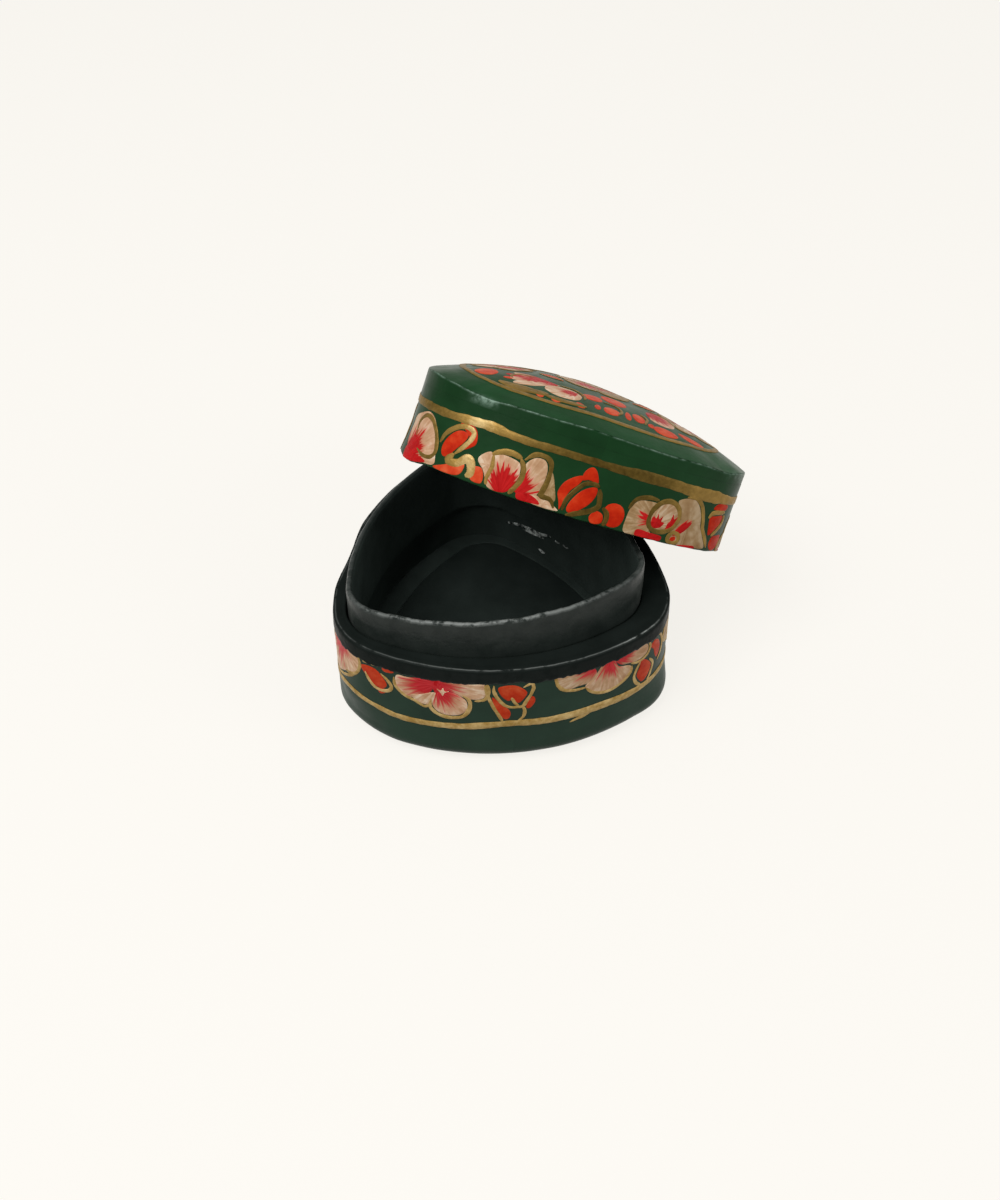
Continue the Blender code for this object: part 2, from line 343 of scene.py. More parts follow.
def gold_paint(name):
    """Bronze powder paint: dull ochre where thin, bright where loaded; the stored load also carries painted
    highlight and shade.
    """
    made, bsdf, place = shader(name, 0.09)
    feed(bsdf.inputs["Metallic"], 0.25)
    specks = times(minus(grain(place, 1.6, 4, 0.65), 0.5), 0.55)
    cloud = times(minus(grain(place, 7, 3), 0.5), 0.35)
    load = plus(stored(bsdf, "load_and_highlight"), plus(specks, cloud))
    colour = ramp(
        load, (0.05, (0.058, 0.036, 0.005)), (0.3, (0.150, 0.094, 0.018)),
        (0.72, (0.405, 0.245, 0.062)), (1.0, (0.82, 0.60, 0.27)),
    )
    rough = ramp(grain(place, 0.7, 3), (0.3, 0.34), (0.7, 0.52))
    return coated(made, bsdf, colour, rough, grain(place, 0.8, 3, 0.6), 0.00012, 0.7)


def petal_paint(name, lift=1.0, soft=0.08, deep=(0.42, 0.004, 0.005), bright=(0.60, 0.014, 0.014)):
    """Cream and tan petals with crimson brushed out from the heart; the UV map holds the way and the
    turn from there."""
    made, bsdf, place = shader(name, 0.08)
    across = node_by(bsdf, "ShaderNodeSeparateXYZ", Vector=mapped(bsdf, "UV"))
    along, side = across.outputs["X"], across.outputs["Y"]
    tone, flame = stored(bsdf, "tone"), stored(bsdf, "blaze")
    comb = node_by(bsdf, "ShaderNodeCombineXYZ", X=times(along, 1.3), Y=times(side, 9.0), Z=times(tone, 31.0))
    streak = noise_on(comb.outputs["Vector"], 2.5, 0.6)
    reach = plus(times(streak, 1.1), minus(flame, 0.55))
    left = minus(minus(reach, along), times(times(side, side), 0.35))
    patchy = plus(times(streak, 0.55), times(grain(place, 2.4, 3), 0.45))
    cream = ramp(patchy, (0.36, (0.56, 0.30, 0.165)), (0.5, (0.72, 0.45, 0.28)), (0.62, (0.88, 0.70, 0.52)))
    tan = ramp(patchy, (0.36, (0.25, 0.145, 0.052)), (0.5, (0.34, 0.215, 0.090)), (0.62, (0.50, 0.35, 0.19)))
    paler = node_by(bsdf, "ShaderNodeVectorMath")
    paler.operation = "SCALE"
    feed(paler.inputs[0], mixed(tone, cream, tan))
    feed(paler.inputs["Scale"], lift)
    flame_on = ramp(flame, (0.0, 0.0), (0.06, 1.0))
    near = times(ramp(left, (0.0, 0.0), (0.25, 0.75)), flame_on)
    blush = mixed(near, paler.outputs["Vector"], (0.64, 0.14, 0.085))
    crimson = times(ramp(left, (0.12, 0.0), (0.12 + soft, 1.0)), flame_on)
    colour = mixed(crimson, blush, ramp(streak, (0.35, deep), (0.65, bright)))
    rough = ramp(grain(place, 1.4, 3), (0.3, 0.34), (0.75, 0.5))
    return coated(made, bsdf, colour, rough, plus(streak, grain(place, 1.0, 3)), 0.00009, 0.6)


def orange_paint(name):
    """Flame orange brushed over red, a little streaky."""
    made, bsdf, place = shader(name, 0.08)
    blend = grain(place, 3.0, 4, 0.6)
    strong = ramp(
        blend, (0.34, (0.46, 0.009, 0.001)), (0.5, (0.57, 0.016, 0.001)), (0.68, (0.66, 0.034, 0.004)),
    )
    light = ramp(
        blend, (0.34, (0.60, 0.040, 0.010)), (0.5, (0.70, 0.066, 0.018)), (0.68, (0.80, 0.14, 0.05)),
    )
    rough = ramp(grain(place, 1.4, 3), (0.3, 0.34), (0.75, 0.5))
    colour = mixed(stored(bsdf, "tone"), strong, light)
    return coated(made, bsdf, colour, rough, grain(place, 1.1, 3), 0.00009, 0.35)


BASE_GREEN = green_lacquer(
    "base green lacquer", (0.0240, 0.048, 0.0325), (0.0292, 0.059, 0.0400), (0.036, 0.073, 0.048),
    (0.12, 0.15, 0.12), 0.05,
)
LID_GREEN = green_lacquer(
    "lid green lacquer", (0.0068, 0.034, 0.0100), (0.0092, 0.045, 0.0135), (0.014, 0.062, 0.021),
    (0.24, 0.36, 0.28), 0.09,
)
CROWN_GREEN = green_lacquer(
    "crown green lacquer", (0.0085, 0.050, 0.0140), (0.0115, 0.065, 0.0195), (0.017, 0.085, 0.028),
    (0.24, 0.36, 0.28), 0.05,
)
BLACK = black_gloss("black gloss paint", 0.0112, 0.34, 0.02, 0.4, bare=0.36, scuff_and_highlight_grey=0.30, patch=3.0)
COLLAR_BLACK = black_gloss("satin black paint", 0.0185, 0.34, 0.17, 0.25, bare=0.38, scuff_and_highlight_grey=0.23)
# The inside walls and the floor are one black paint in two tones: the walls' copy is painted lighter, painted
# light in the box's shade, and the floor's darker, painted shade where more light falls.
INSIDE = black_gloss("black inside paint", 0.042, 0.5, 0.04, 0.2)
FLOOR_BLACK = black_gloss("black floor paint", 0.0215, 0.5, 0.04, 0.2)
# Painted glint: black gloss with pale flecks where the seam's mark says.
PAINTED_GLINT = black_gloss("glue seam with painted glint", 0.03, 0.2, 0.5, 0.5, "load_and_highlight", scuff_and_highlight_grey=0.75)
GOLD = gold_paint("bronze powder gold")
PETAL = petal_paint("cream and crimson petal paint")
SOFT_PETAL = petal_paint("paler petal paint", 1.25, 0.22, (0.58, 0.010, 0.014), (0.80, 0.060, 0.070))
ORANGE = orange_paint("flame orange paint")


# Making pieces
SHARP = radians(42)      # edges sharper than this aren't smoothed


def finished(work, name, body, paints, replaces, slot):
    """Turns millimetre work into a piece in metres, hands it to its body and hides the node it replaces; the
    slot is not used.
    """
    bmesh.ops.recalc_face_normals(work, faces=work.faces)
    mesh = bpy.data.meshes.new(name)
    work.to_mesh(mesh)
    work.free()
    mesh.transform(Matrix.Scale(0.001, 4))
    for paint in paints:
        mesh.materials.append(paint)
    mesh.shade_smooth()
    mesh.set_sharp_from_angle(angle=SHARP)
    made = bpy.data.objects.new(name, mesh)
    bpy.context.scene.collection.objects.link(made)
    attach(made, body)
    if replaces:
        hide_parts(replaces)


def ring_skin(section, place, steps=RING_STEPS, rub_and_highlight=None, painted_sheen=None):
    """A closed shell round the plan. Section points are (inset, z, paint slot, wear and painted highlight),
    the last two 0 where left out; the function of s scales the wear and painted highlight, and the function
    of (s, z) clouds the paint paler with a painted sheen."""
    section = [(*row, 0, 0.0) if len(row) == 2 else row for row in section]
    work = bmesh.new()
    cover = work.loops.layers.uv.new("UVMap")
    wear_and_highlight = work.verts.layers.float.new("wear_and_highlight")
    painted_sheen_layer = work.verts.layers.float.new("painted_sheen")
    columns = []
    for i in range(steps):
        s = GIRTH * i / steps
        wear_and_highlight_here = rub_and_highlight(s) if rub_and_highlight else 1.0
        column = []
        for inset, z, paint, wear_and_highlight_level in section:
            vert = work.verts.new(place(s, z, -inset))
            vert[wear_and_highlight] = wear_and_highlight_level * wear_and_highlight_here
            vert[painted_sheen_layer] = painted_sheen(s, z) if painted_sheen and paint == 0 else 0.0
            column.append(vert)
        columns.append(column)
    count = len(section)
    for i in range(steps):
        a, b = columns[i], columns[(i + 1) % steps]
        for k in range(count):
            n = (k + 1) % count
            face = work.faces.new((a[k], b[k], b[n], a[n]))
            face.material_index = section[k][2]
            for loop, (s, j) in zip(face.loops, ((i, k), (i + 1, k), (i + 1, n), (i, n))):
                loop[cover].uv = (GIRTH * s / steps * 0.001, section[j][1] * 0.001)
    return work


def span(a, b, count, paint=0, wear_and_highlight_level=0.0):
    """Section points from a up to but not including b."""
    return [
        (a[0] + (b[0] - a[0]) * i / count, a[1] + (b[1] - a[1]) * i / count, paint, wear_and_highlight_level)
        for i in range(count)
    ]


def bend(middle, radius, start, end, count, paint=0, wear_and_highlight_level=0.0):
    """Section points round a corner; angle 0 points outward and 90 up."""
    points = []
    for i in range(count):
        a = radians(start + (end - start) * i / count)
        points.append((middle[0] - radius * cos(a), middle[1] + radius * sin(a), paint, wear_and_highlight_level))
    return points


def base_wall():
    """Green outside, black over its top and inside, with a tongue that closes the slit to the floor."""
    inner, bottom, foot, tongue = WALL_THICK, BOTTOM_ROUND, FOOT_REACH, 0.3
    soft, crisp = 0.7, 0.4        # rounding of the top's outer and inner edges

    def place(s, z, h):
        if z > FLOOR_THICK - 0.1 and soft < -h <= inner + 0.01:
            point, out = edge(s)
            inward = min(1.0, (-h - soft) / (inner - soft - crisp))
            point = point + out * (h + belly(s, z) * (1 - inward))
            return Vector((point.x + COLLAR_SHIFT * inward, point.y, z))
        if -h > foot - tongue:
            point, out = edge(s)
            return Vector((*(point + out * h), z))
        return on_base(s, z, h)

    section = (
        span((0.0, WALL_HEIGHT - soft), (0.0, bottom), 26)
        + bend((bottom, bottom), bottom, 0, -90, 10)
        + span((bottom, 0.0), (foot, 0.0), 3)
        + [(foot, 0.0, 2, 0.0), (foot + tongue, 0.4, 2, 0.0)]
        + [(foot + tongue, FLOOR_THICK - 0.4, 2, 0.0), (foot, FLOOR_THICK, 2, 0.0)]
        + span((inner, FLOOR_THICK), (inner, WALL_HEIGHT - crisp), 8, 2)
        + bend((inner - crisp, WALL_HEIGHT - crisp), -crisp, 0, -90, 3, 1)
        + span((inner - crisp, WALL_HEIGHT), (soft, WALL_HEIGHT), 8, 1)
        + bend((soft, WALL_HEIGHT - soft), soft, 90, 0, 4, 1)
    )
    paints = [BASE_GREEN, BLACK, INSIDE]
    finished(ring_skin(section, place), "base_wall_skin", "base", paints, "base_wall", "base_wall")


def black_lip():
    """Black paint that laps over the top of the wall, its lower edge brushed on by hand."""
    top = WALL_HEIGHT

    def place(s, z, h):
        if z < top - 2.3:
            z += 0.5 * wander(s, 0, 2.4, 11) + 0.32 * wander(s, 0, 0.9, 12) + 0.4 * wander(s, 0, 17, 13)
        ridge = 0.12 * max(0.0, wander(s, 1, 1.3, 14)) if z > top - 0.4 else 0.0
        if z > top - 0.1 and h > -0.9:
            h -= 0.15 + 0.10 * wander(s, 0, 4.5, 15) + 0.06 * wander(s, 0, 1.4, 16)
        return on_base(s, z + ridge, h)

    section = (
        [(0.30, LIP), (-0.02, LIP + 0.04), (-0.13, LIP + 0.14, 0, 0.45), (-0.16, LIP + 0.4, 0, 0.1)]
        + span((-0.15, LIP + 0.8), (-0.10, top - 0.6), 8, 0, 0.03)
        + [(-0.06, top - 0.38), (0.02, top - 0.16), (0.16, top - 0.01, 0, 0.1), (0.30, top + 0.05, 0, 0.9)]
        + [(0.46, top + 0.06, 0, 0.3), (0.62, top + 0.06), (0.8, top + 0.05), (1.9, top + 0.05)]
        + [(2.6, top - 0.2), (1.2, top - 1.4)]
    )

    # Pale flecks along the crease at the wall's top edge and at the lip's lower edge: wear with a painted
    # highlight on it, strongest near the front's middle and the right corner.
    def rub_and_highlight(s):
        return 0.25 + 0.3 * swell(s, 2, 44) + 0.9 * swell(s, 30, 9)

    finished(ring_skin(section, place, 900, rub_and_highlight), "black_lip", "base", [BLACK], None, "base_wall")


def collar():
    """A thin strip with a hand-cut rim that climbs to the right."""
    inner, outer, top = LEDGE + COLLAR_THICK, LEDGE, COLLAR_TOP
    slant, rim = 20, 33.5         # heights where the slope and the uneven cut set in

    def place(s, z, h):
        point, out = edge(s)
        point = point + out * h
        x, y = point.x + COLLAR_SHIFT, point.y
        if z > slant:
            rise = min(1.0, (z - slant) / 8)
            z += rise * (SLOPE_X * x + SLOPE_Y * y - 0.1)
        if z > rim:
            z += 0.22 * wander(s, 0, 5.5, 21) + 0.20 * wander(s, 0, 1.6, 22) + 0.10 * wander(s, 0, 0.6, 23)
        flare = 0.6 * swell(s, 45, 10) * min(1.0, max(0.0, (z - 22) / 10))
        shake = 0.10 * wander(s, z, 7, 24) - 0.05 + flare
        return Vector((x + out.x * shake, y + out.y * shake, z))

    section = (
        span((outer, COLLAR_FOOT), (outer, top - 0.8), 18)
        + [(outer + 0.02, top - 0.8), (outer + 0.09, top - 0.4, 0, 0.5), (outer + 0.25, top - 0.12, 0, 1.0)]
        + [(outer + 0.5, top + 0.02, 0, 1.0), (outer + 0.8, top, 0, 0.6), (inner - 0.4, top - 0.14, 0, 0.15)]
        + [(inner - 0.15, top - 0.4, 1, 0.0)]
        + span((inner, top - 0.9), (inner, COLLAR_FOOT + 0.3), 16, 1)
        + [(inner - 0.1, COLLAR_FOOT + 0.08, 1, 0.0), (inner - 0.4, COLLAR_FOOT, 1, 0.0)]
    )

    # Pale flecks along the rim are a painted highlight, strongest along the front.
    def rub_and_highlight(s):
        return 0.1 + 0.9 * swell(s, -4, 48)

    # Painted sheen: a paler grey cloud high on the collar's front, strongest at its two ends.
    def painted_sheen(s, z):
        high = min(1.0, max(0.0, (z - 24) / 5))
        return high * (1.5 * swell(s, 44, 8) + 1.1 * swell(s, -46, 9) + 0.5 * swell(s, 37, 4)) + 0.25 * high

    skin = ring_skin(section, place, 700, rub_and_highlight, painted_sheen)
    finished(skin, "collar_skin", "base", [COLLAR_BLACK, INSIDE], "collar", "collar")


def glue_seam():
    """A line of glue inside, under the collar's foot at the back, with pale flecks for a painted glint."""
    def on_inside(s, z, h):
        point, out = edge(s)
        point = point - out * (WALL_THICK + h)
        return Vector((point.x + COLLAR_SHIFT, point.y, z))

    # The flecks past s = 93 are a brighter painted glint.
    def load_and_highlight(s):
        return 1.0 if s > 93 else 0.4

    seam = Strokes("glue_seam", "base", PAINTED_GLINT, on_inside, "collar", load_and_highlight=load_and_highlight, press=1.5)
    seam.strokes(
        (111, 8.2, .2, 106.4, 9.2, .3, 103, 9.5, .36, 99.4, 9.7, .36, 96.5, 10.6, .3, 94.6, 10.8, .24),
        (105, 8.4, .18, 102, 8.7, .24, 99, 8.9, .2, 97.4, 9.2, .14),
        (93.4, 10.8, .14, 92.6, 10.6, .2, 91.6, 10.9, .14),
        (90.4, 11.2, .12, 89.2, 11, .2, 88.2, 11.4, .12),
        (99.4, 4.8, .14, 98.2, 4.5, .34, 97, 4.6, .14),
    )
    seam.done()


def lid_wall():
    """The lid's side, up to the crown."""
    seam = LID_SIDE - CROWN_THICK - 0.02
    section = (
        span((0.0, seam), (0.0, 0.5), 20)
        + bend((0.5, 0.5), 0.5, 0, -90, 5)
        + span((0.5, 0.0), (LID_THICK - 0.5, 0.0), 4, 1)
        + bend((LID_THICK - 0.5, 0.5), -0.5, 90, 0, 5, 1)
        + span((LID_THICK, 0.5), (LID_THICK, seam), 8, 1)
        + span((LID_THICK, seam), (0.0, seam), 3, 1)
    )

    def place(s, z, h):
        if z < 1.0:
            z += 0.10 * wander(s, 0, 3.0, 31) + 0.06 * wander(s, 0, 0.9, 32) + 0.08
        return on_lid(s, z, h)

    finished(ring_skin(section, place), "lid_wall_skin", "lid", [LID_GREEN, INSIDE], "lid_wall", "lid_wall")


def lid_crown():
    """A pillow over the plan with a crisp upper edge."""
    work = bmesh.new()
    cover = work.loops.layers.uv.new("UVMap")
    wear_and_highlight = work.verts.layers.float.new("wear_and_highlight")
    steps, base = RING_STEPS, LID_SIDE - CROWN_THICK
    rings, heights = [], []

    def ring(far, z=None, wear_and_highlight_level=0.0, inset=0.0, below=None, highlight_smear=0.0):
        """A row at a height, at a depth below the sharp edge, or else on the pillow."""
        row, pillow = [], z is None and below is None
        for i in range(steps):
            s = GIRTH * i / steps
            point, out = edge(s)
            point = (point + out * (hand(s, LID_SIDE, 5) - inset)) * far
            level = z
            if below is not None:
                level = arris(s) - below + 0.06 * wander(s, 0, 1.8, 41)
            elif pillow:
                level = crown_height(point.x, point.y)
            vert = work.verts.new(LID_TURN @ Vector((point.x, point.y, level)) + LID_PLACE)
            left = highlight_smear * swell(s, -27.5, 4.5) * (0.3 if pillow else 1) + 0.5 * swell(s, -19, 9) * wear_and_highlight_level
            vert[wear_and_highlight] = 0.9 * wear_and_highlight_level + left + highlight_smear * 0.6 * swell(s, 38.5, 9)
            row.append(vert)
        rings.append(row)
        heights.append(len(heights) * 0.5 + base if pillow else (z or LID_SIDE - below))

    # Rows below the sharp edge and the pillow's rim carry a painted highlight: a pale line along the edge and
    # pale smears at its left and right.
    ring(1.0, base)
    ring(1.0, base + 0.7, highlight_smear=0.3)
    ring(1.0, base + 1.4, highlight_smear=0.8)
    for wear_and_highlight_level, inset, below, highlight_smear in (
        (0.0, 0.0, 0.55, 1.0), (0.2, 0.0, 0.34, 1.0), (0.8, 0.05, 0.18, 0.8), (1.0, 0.16, 0.08, 0.8),
        (0.6, 0.36, 0.01, 0.8),
    ):
        ring(1.0, None, wear_and_highlight_level, inset, below, highlight_smear)
    for i in range(34):
        ring(cos(0.5 * pi * (i + 1.3) / 36) ** 0.9, highlight_smear=max(0.0, 0.8 - 0.14 * i))
    outer_rows = len(rings)
    land = 1 - LID_THICK / (PLAN_DEPTH / 3 + CORNER)
    for i in range(12):
        far = land * cos(0.5 * pi * i / 12)
        ring(far, base + (CROWN_RISE - 0.1) * (1 - (far / land) ** 2) + 0.001)
    tips = [
        work.verts.new(LID_TURN @ Vector((0, 0, crown_height(0, 0))) + LID_PLACE),
        work.verts.new(LID_TURN @ Vector((0, 0, base + CROWN_RISE - 0.1)) + LID_PLACE),
    ]

    def sheet(a, b, paint, low, high):
        for i in range(steps):
            n = (i + 1) % steps
            face = work.faces.new((a[i], a[n], b[n], b[i]))
            face.material_index = paint
            for loop, (k, v) in zip(face.loops, ((i, low), (i + 1, low), (i + 1, high), (i, high))):
                loop[cover].uv = (GIRTH * k / steps * 0.001, v * 0.001)

    for k in range(outer_rows - 1):
        sheet(rings[k], rings[k + 1], 2 if k > 6 else 0, heights[k], heights[k + 1])
    sheet(rings[outer_rows], rings[0], 1, 0, 3)
    for k in range(outer_rows, len(rings) - 1):
        sheet(rings[k + 1], rings[k], 1, k, k + 1)
    for tip, row, paint in ((tips[0], rings[outer_rows - 1], 2), (tips[1], rings[-1], 1)):
        for i in range(steps):
            face = work.faces.new((row[i], row[(i + 1) % steps], tip))
            face.material_index = paint
    finished(work, "lid_crown_skin", "lid", [LID_GREEN, INSIDE, CROWN_GREEN], "lid_crown", "lid_crown")


# Painting
BEAD_SIDES, BEAD_SPACING = 10, 0.3
ANYWHERE = (-99, 99)                          # limits that keep nothing out
ROUND = (50.0, 82.0, 112.0, -97.0, -69.0)    # places of the sprigs on the sides and the back


def twos(*flat):
    """Points (s, z) from a flat row of numbers."""
    return list(zip(flat[::2], flat[1::2]))


def flowing(points, per_span=10, closed=False):
    """A smooth line through given points."""
    points = [Vector(p) for p in points]
    count = len(points)
    line = []
    for i in range(count if closed else count - 1):
        if closed:
            a, b, c, d = (points[(i + k) % count] for k in (-1, 0, 1, 2))
        else:
            b, c = points[i], points[i + 1]
            a = points[i - 1] if i else b - (c - b)
            d = points[i + 2] if i + 2 < count else c + (c - b)
        for k in range(per_span):
            t = k / per_span
            line.append(
                0.5 * (
                    2 * b + (c - a) * t + (2 * a - 5 * b + 4 * c - d) * t * t + (3 * b - a - 3 * c + d) * t**3
                )
            )
    if not closed:
        line.append(points[-1])
    return line


class Brush:
    """One paint on one surface: wrap lays (s, z, height) on it, and z is kept inside two limits."""

    def __init__(self, name, body, paint, wrap, slot, keep=ANYWHERE):
        self.name, self.body, self.paint = name, body, paint
        self.wrap, self.slot, self.keep = wrap, slot, keep

    def laid(self, s, z, height):
        return self.wrap(s, min(max(z, self.keep[0]), self.keep[1]), height)

    def piece(self, work):
        finished(work, self.name, self.body, [self.paint], None, self.slot)


class Daubs(Brush):
    """Petals, buds and leaves: thin daubs drawn flat in (s, z) and wrapped on as closed shells."""

    PROFILE = ((1.0, 0.15), (0.96, 0.7), (0.86, 1.0), (0.66, 1.0), (0.44, 1.0), (0.22, 1.0))
    UNDER = -0.14

    def __init__(self, *place, shade=0.2):
        super().__init__(*place)
        self.shade = shade
        self.work = bmesh.new()
        self.cover = self.work.loops.layers.uv.new("UVMap")
        self.tone = self.work.verts.layers.float.new("tone")
        self.flame = self.work.verts.layers.float.new("blaze")

    def daub(self, outline, heart=None, flame=0.0, tone=None, lift=0.1):
        """A daub inside an outline; crimson runs out from its heart as far as the flame."""
        tone, crest = self.shade if tone is None else tone, 0.7 * lift
        rim = flowing([(x, y, 0.0) for x, y in outline], 5, True)
        middle = sum(rim, Vector((0, 0, 0))) / len(rim)
        steer = 0.15 if heart is None else 1
        heart = middle if heart is None else Vector((*heart, 0.0))
        reach = max((p - heart).length for p in rim)
        ahead = (middle - heart).to_2d()
        ahead = ahead.normalized() if ahead.length > 0.5 else Vector((0, 1))

        def mark(p):
            away = (p - heart).to_2d()
            if away.length < 1e-5:
                return 0.0, 0.0
            turn = atan2(ahead.x * away.y - ahead.y * away.x, ahead.dot(away))
            return away.length / reach, turn * steer

        def vertex(p, height):
            vert = self.work.verts.new(self.laid(p.x, p.y, height))
            vert[self.tone], vert[self.flame] = tone, flame
            return vert

        def face(verts, marks):
            for loop, uv in zip(self.work.faces.new(verts).loops, marks):
                loop[self.cover].uv = uv

        count = len(rim)
        rows, marks = [], []
        for size, height in self.PROFILE:
            spots = [middle.lerp(p, size) for p in rim]
            rows.append([vertex(p, crest * height) for p in spots])
            marks.append([mark(p) for p in spots])
        rows.append([vertex(middle.lerp(p, 0.99), self.UNDER) for p in rim])
        marks.append(marks[0])
        order = [len(rows) - 1, *range(len(rows) - 1)]
        for a, b in zip(order, order[1:]):
            for i in range(count):
                n = (i + 1) % count
                face(
                    (rows[a][i], rows[a][n], rows[b][n], rows[b][i]),
                    (marks[a][i], marks[a][n], marks[b][n], marks[b][i]),
                )
        for row, height in ((-2, crest), (-1, self.UNDER)):
            tip = vertex(middle, height)
            for i in range(count):
                n = (i + 1) % count
                face((rows[row][i], rows[row][n], tip), (marks[row][i], marks[row][n], mark(middle)))

    def daubs(self, *outlines, tone=None):
        """Plain daubs, each given as a flat row of s, z."""
        for flat in outlines:
            self.daub(twos(*flat), tone=tone)

    def done(self):
        self.piece(self.work)


def stroke_tree():
    """Node group that turns mesh lines into beads as thick as their width says."""
    tree = bpy.data.node_groups.new("gold brush strokes", "GeometryNodeTree")
    sockets = {}
    for name, way, kind in (
        ("Geometry", "INPUT", "Geometry"), ("Sides", "INPUT", "Int"), ("Spacing", "INPUT", "Float"),
        ("Paint", "INPUT", "Material"), ("Geometry", "OUTPUT", "Geometry"),
    ):
        sockets[name] = tree.interface.new_socket(name, in_out=way, socket_type="NodeSocket" + kind)
    sockets["Sides"].default_value = BEAD_SIDES
    sockets["Spacing"].default_value = BEAD_SPACING
    start, end, to_curve, evenly, width, load, bead, sweep, real, coat = (tree.nodes.new(kind) for kind in (
        "NodeGroupInput", "NodeGroupOutput", "GeometryNodeMeshToCurve", "GeometryNodeResampleCurve",
        "GeometryNodeInputNamedAttribute", "GeometryNodeSetCurveRadius", "GeometryNodeCurvePrimitiveCircle",
        "GeometryNodeCurveToMesh", "GeometryNodeRealizeInstances", "GeometryNodeSetMaterial",
    ))
    evenly.mode = "LENGTH"
    width.data_type = "FLOAT"
    width.inputs["Name"].default_value = "width"
    bead.inputs["Radius"].default_value = 1.0
    sweep.inputs["Fill Caps"].default_value = True
    for source, given, target, taken in (
        (start, "Geometry", to_curve, "Mesh"), (to_curve, "Curve", evenly, "Curve"),
        (start, "Spacing", evenly, "Length"), (evenly, "Curve", load, "Curve"),
        (width, "Attribute", load, "Radius"), (load, "Curve", sweep, "Curve"),
        (start, "Sides", bead, "Resolution"), (bead, "Curve", sweep, "Profile Curve"),
        (width, "Attribute", sweep, "Scale"), (sweep, "Mesh", real, "Geometry"),
        (real, "Geometry", coat, "Geometry"), (start, "Paint", coat, "Material"),
        (coat, "Geometry", end, "Geometry"),
    ):
        tree.links.new(source.outputs[given], target.inputs[taken])
    return tree, {name: socket.identifier for name, socket in sockets.items()}


STROKES, STROKE_INPUTS = stroke_tree()


class Strokes(Brush):
    """Gold brush strokes as low beads; the given function of s says how loaded the brush was, with painted
    highlight and shade mixed in where it is set so.
    """

    LEVEL = 0.16

    def __init__(self, *place, load_and_highlight, press=1.0):
        super().__init__(*place)
        self.load_and_highlight, self.press = load_and_highlight, press
        self.points, self.edges, self.widths = [], [], []

    def stroke(self, points, closed=False, per_span=10, press=None):
        """A stroke through points of (s, z, half width)."""
        press = press or self.press
        line = flowing(points, per_span, closed)
        first = len(self.points)
        for i, p in enumerate(line):
            taper = 1.0
            if not closed:
                reach = min(i, len(line) - 1 - i) / max(1.0, 0.08 * len(line))
                taper = 0.45 + 0.55 * min(1.0, reach)
            self.points.append((p.x, p.y, self.LEVEL))
            uneven = 1 + 0.2 * noise.noise(Vector((p.x / 2.1, p.y / 2.1, 8.1)))
            self.widths.append(max(0.05, press * p.z * taper * uneven))
            if i:
                self.edges.append((first + i - 1, first + i))
        if closed:
            self.edges.append((len(self.points) - 1, first))

    def strokes(self, *lines, **how):
        """Strokes, each given as a flat row of s, z, half width."""
        for flat in lines:
            self.stroke(list(zip(flat[::3], flat[1::3], flat[2::3])), **how)

    def done(self):
        lines = bpy.data.meshes.new(self.name + "_lines")
        lines.from_pydata(self.points, self.edges, [])
        lines.attributes.new("width", "FLOAT", "POINT").data.foreach_set("value", self.widths)
        guide = bpy.data.objects.new(self.name + "_lines", lines)
        bpy.context.scene.collection.objects.link(guide)
        brush = guide.modifiers.new("brush", "NODES")
        brush.node_group = STROKES
        for name, value in (("Sides", BEAD_SIDES), ("Spacing", BEAD_SPACING), ("Paint", self.paint)):
            brush[STROKE_INPUTS[name]] = value
        bpy.context.view_layer.update()
        shape = bpy.data.meshes.new_from_object(guide.evaluated_get(bpy.context.evaluated_depsgraph_get()))
        guide.modifiers.clear()
        bpy.data.objects.remove(guide)
        work = bmesh.new()
        work.from_mesh(shape)
        bpy.data.meshes.remove(shape)
        load = work.verts.layers.float.new("load_and_highlight")
        for vert in work.verts:
            s, z, h = vert.co
            vert[load] = self.load_and_highlight(s)
            s += 0.06 * noise.noise(Vector((s / 1.1, z / 1.1, 1.7)))
            z += 0.06 * noise.noise(Vector((s / 1.1, z / 1.1, 5.3)))
            vert.co = self.laid(s, z, 0.12 * tanh((h - self.LEVEL) / 0.45) + 0.06)
        self.piece(work)


def leaf(s, z, angle, length, width, bow=0.0, blunt=0.5):
    """Outline of a petal or leaf from its heart (s, z) along an angle in degrees."""
    a = radians(angle)
    ahead, aside = Vector((cos(a), sin(a))), Vector((-sin(a), cos(a)))
    outline = []
    for t, w in ((0.0, 0.12), (0.3, 0.66), (blunt + 0.12, 1.0), (0.86, 0.72), (1.0, 0.0), (0.86, -0.72),
                 (blunt + 0.12, -1.0), (0.3, -0.66), (0.0, -0.12)):
        spot = Vector((s, z)) + ahead * (length * t) + aside * (width / 2 * w + bow * length * t * t)
        outline.append((spot.x, spot.y))
    return outline


def flower(petals, gold, heart, blades, half=0.42):
    """A flower from its heart; each blade is (angle, length, width, flame, tone)."""
    for n, (angle, length, width, flame, tone) in enumerate(blades):
        outline = leaf(*heart, angle, length, width)
        petals.daub(outline, heart, flame, tone, 0.07 + 0.03 * n)
        gold.stroke([(x, z, half) for x, z in outline[1:-1]], per_span=5)


def bud(buds, gold, s, z, angle, length, width, bow, half):
    outline = leaf(s, z, angle, length, width, bow, 0.4)
    buds.daub(outline, lift=0.12)
    gold.stroke([(x, z, half) for x, z in outline], per_span=5)


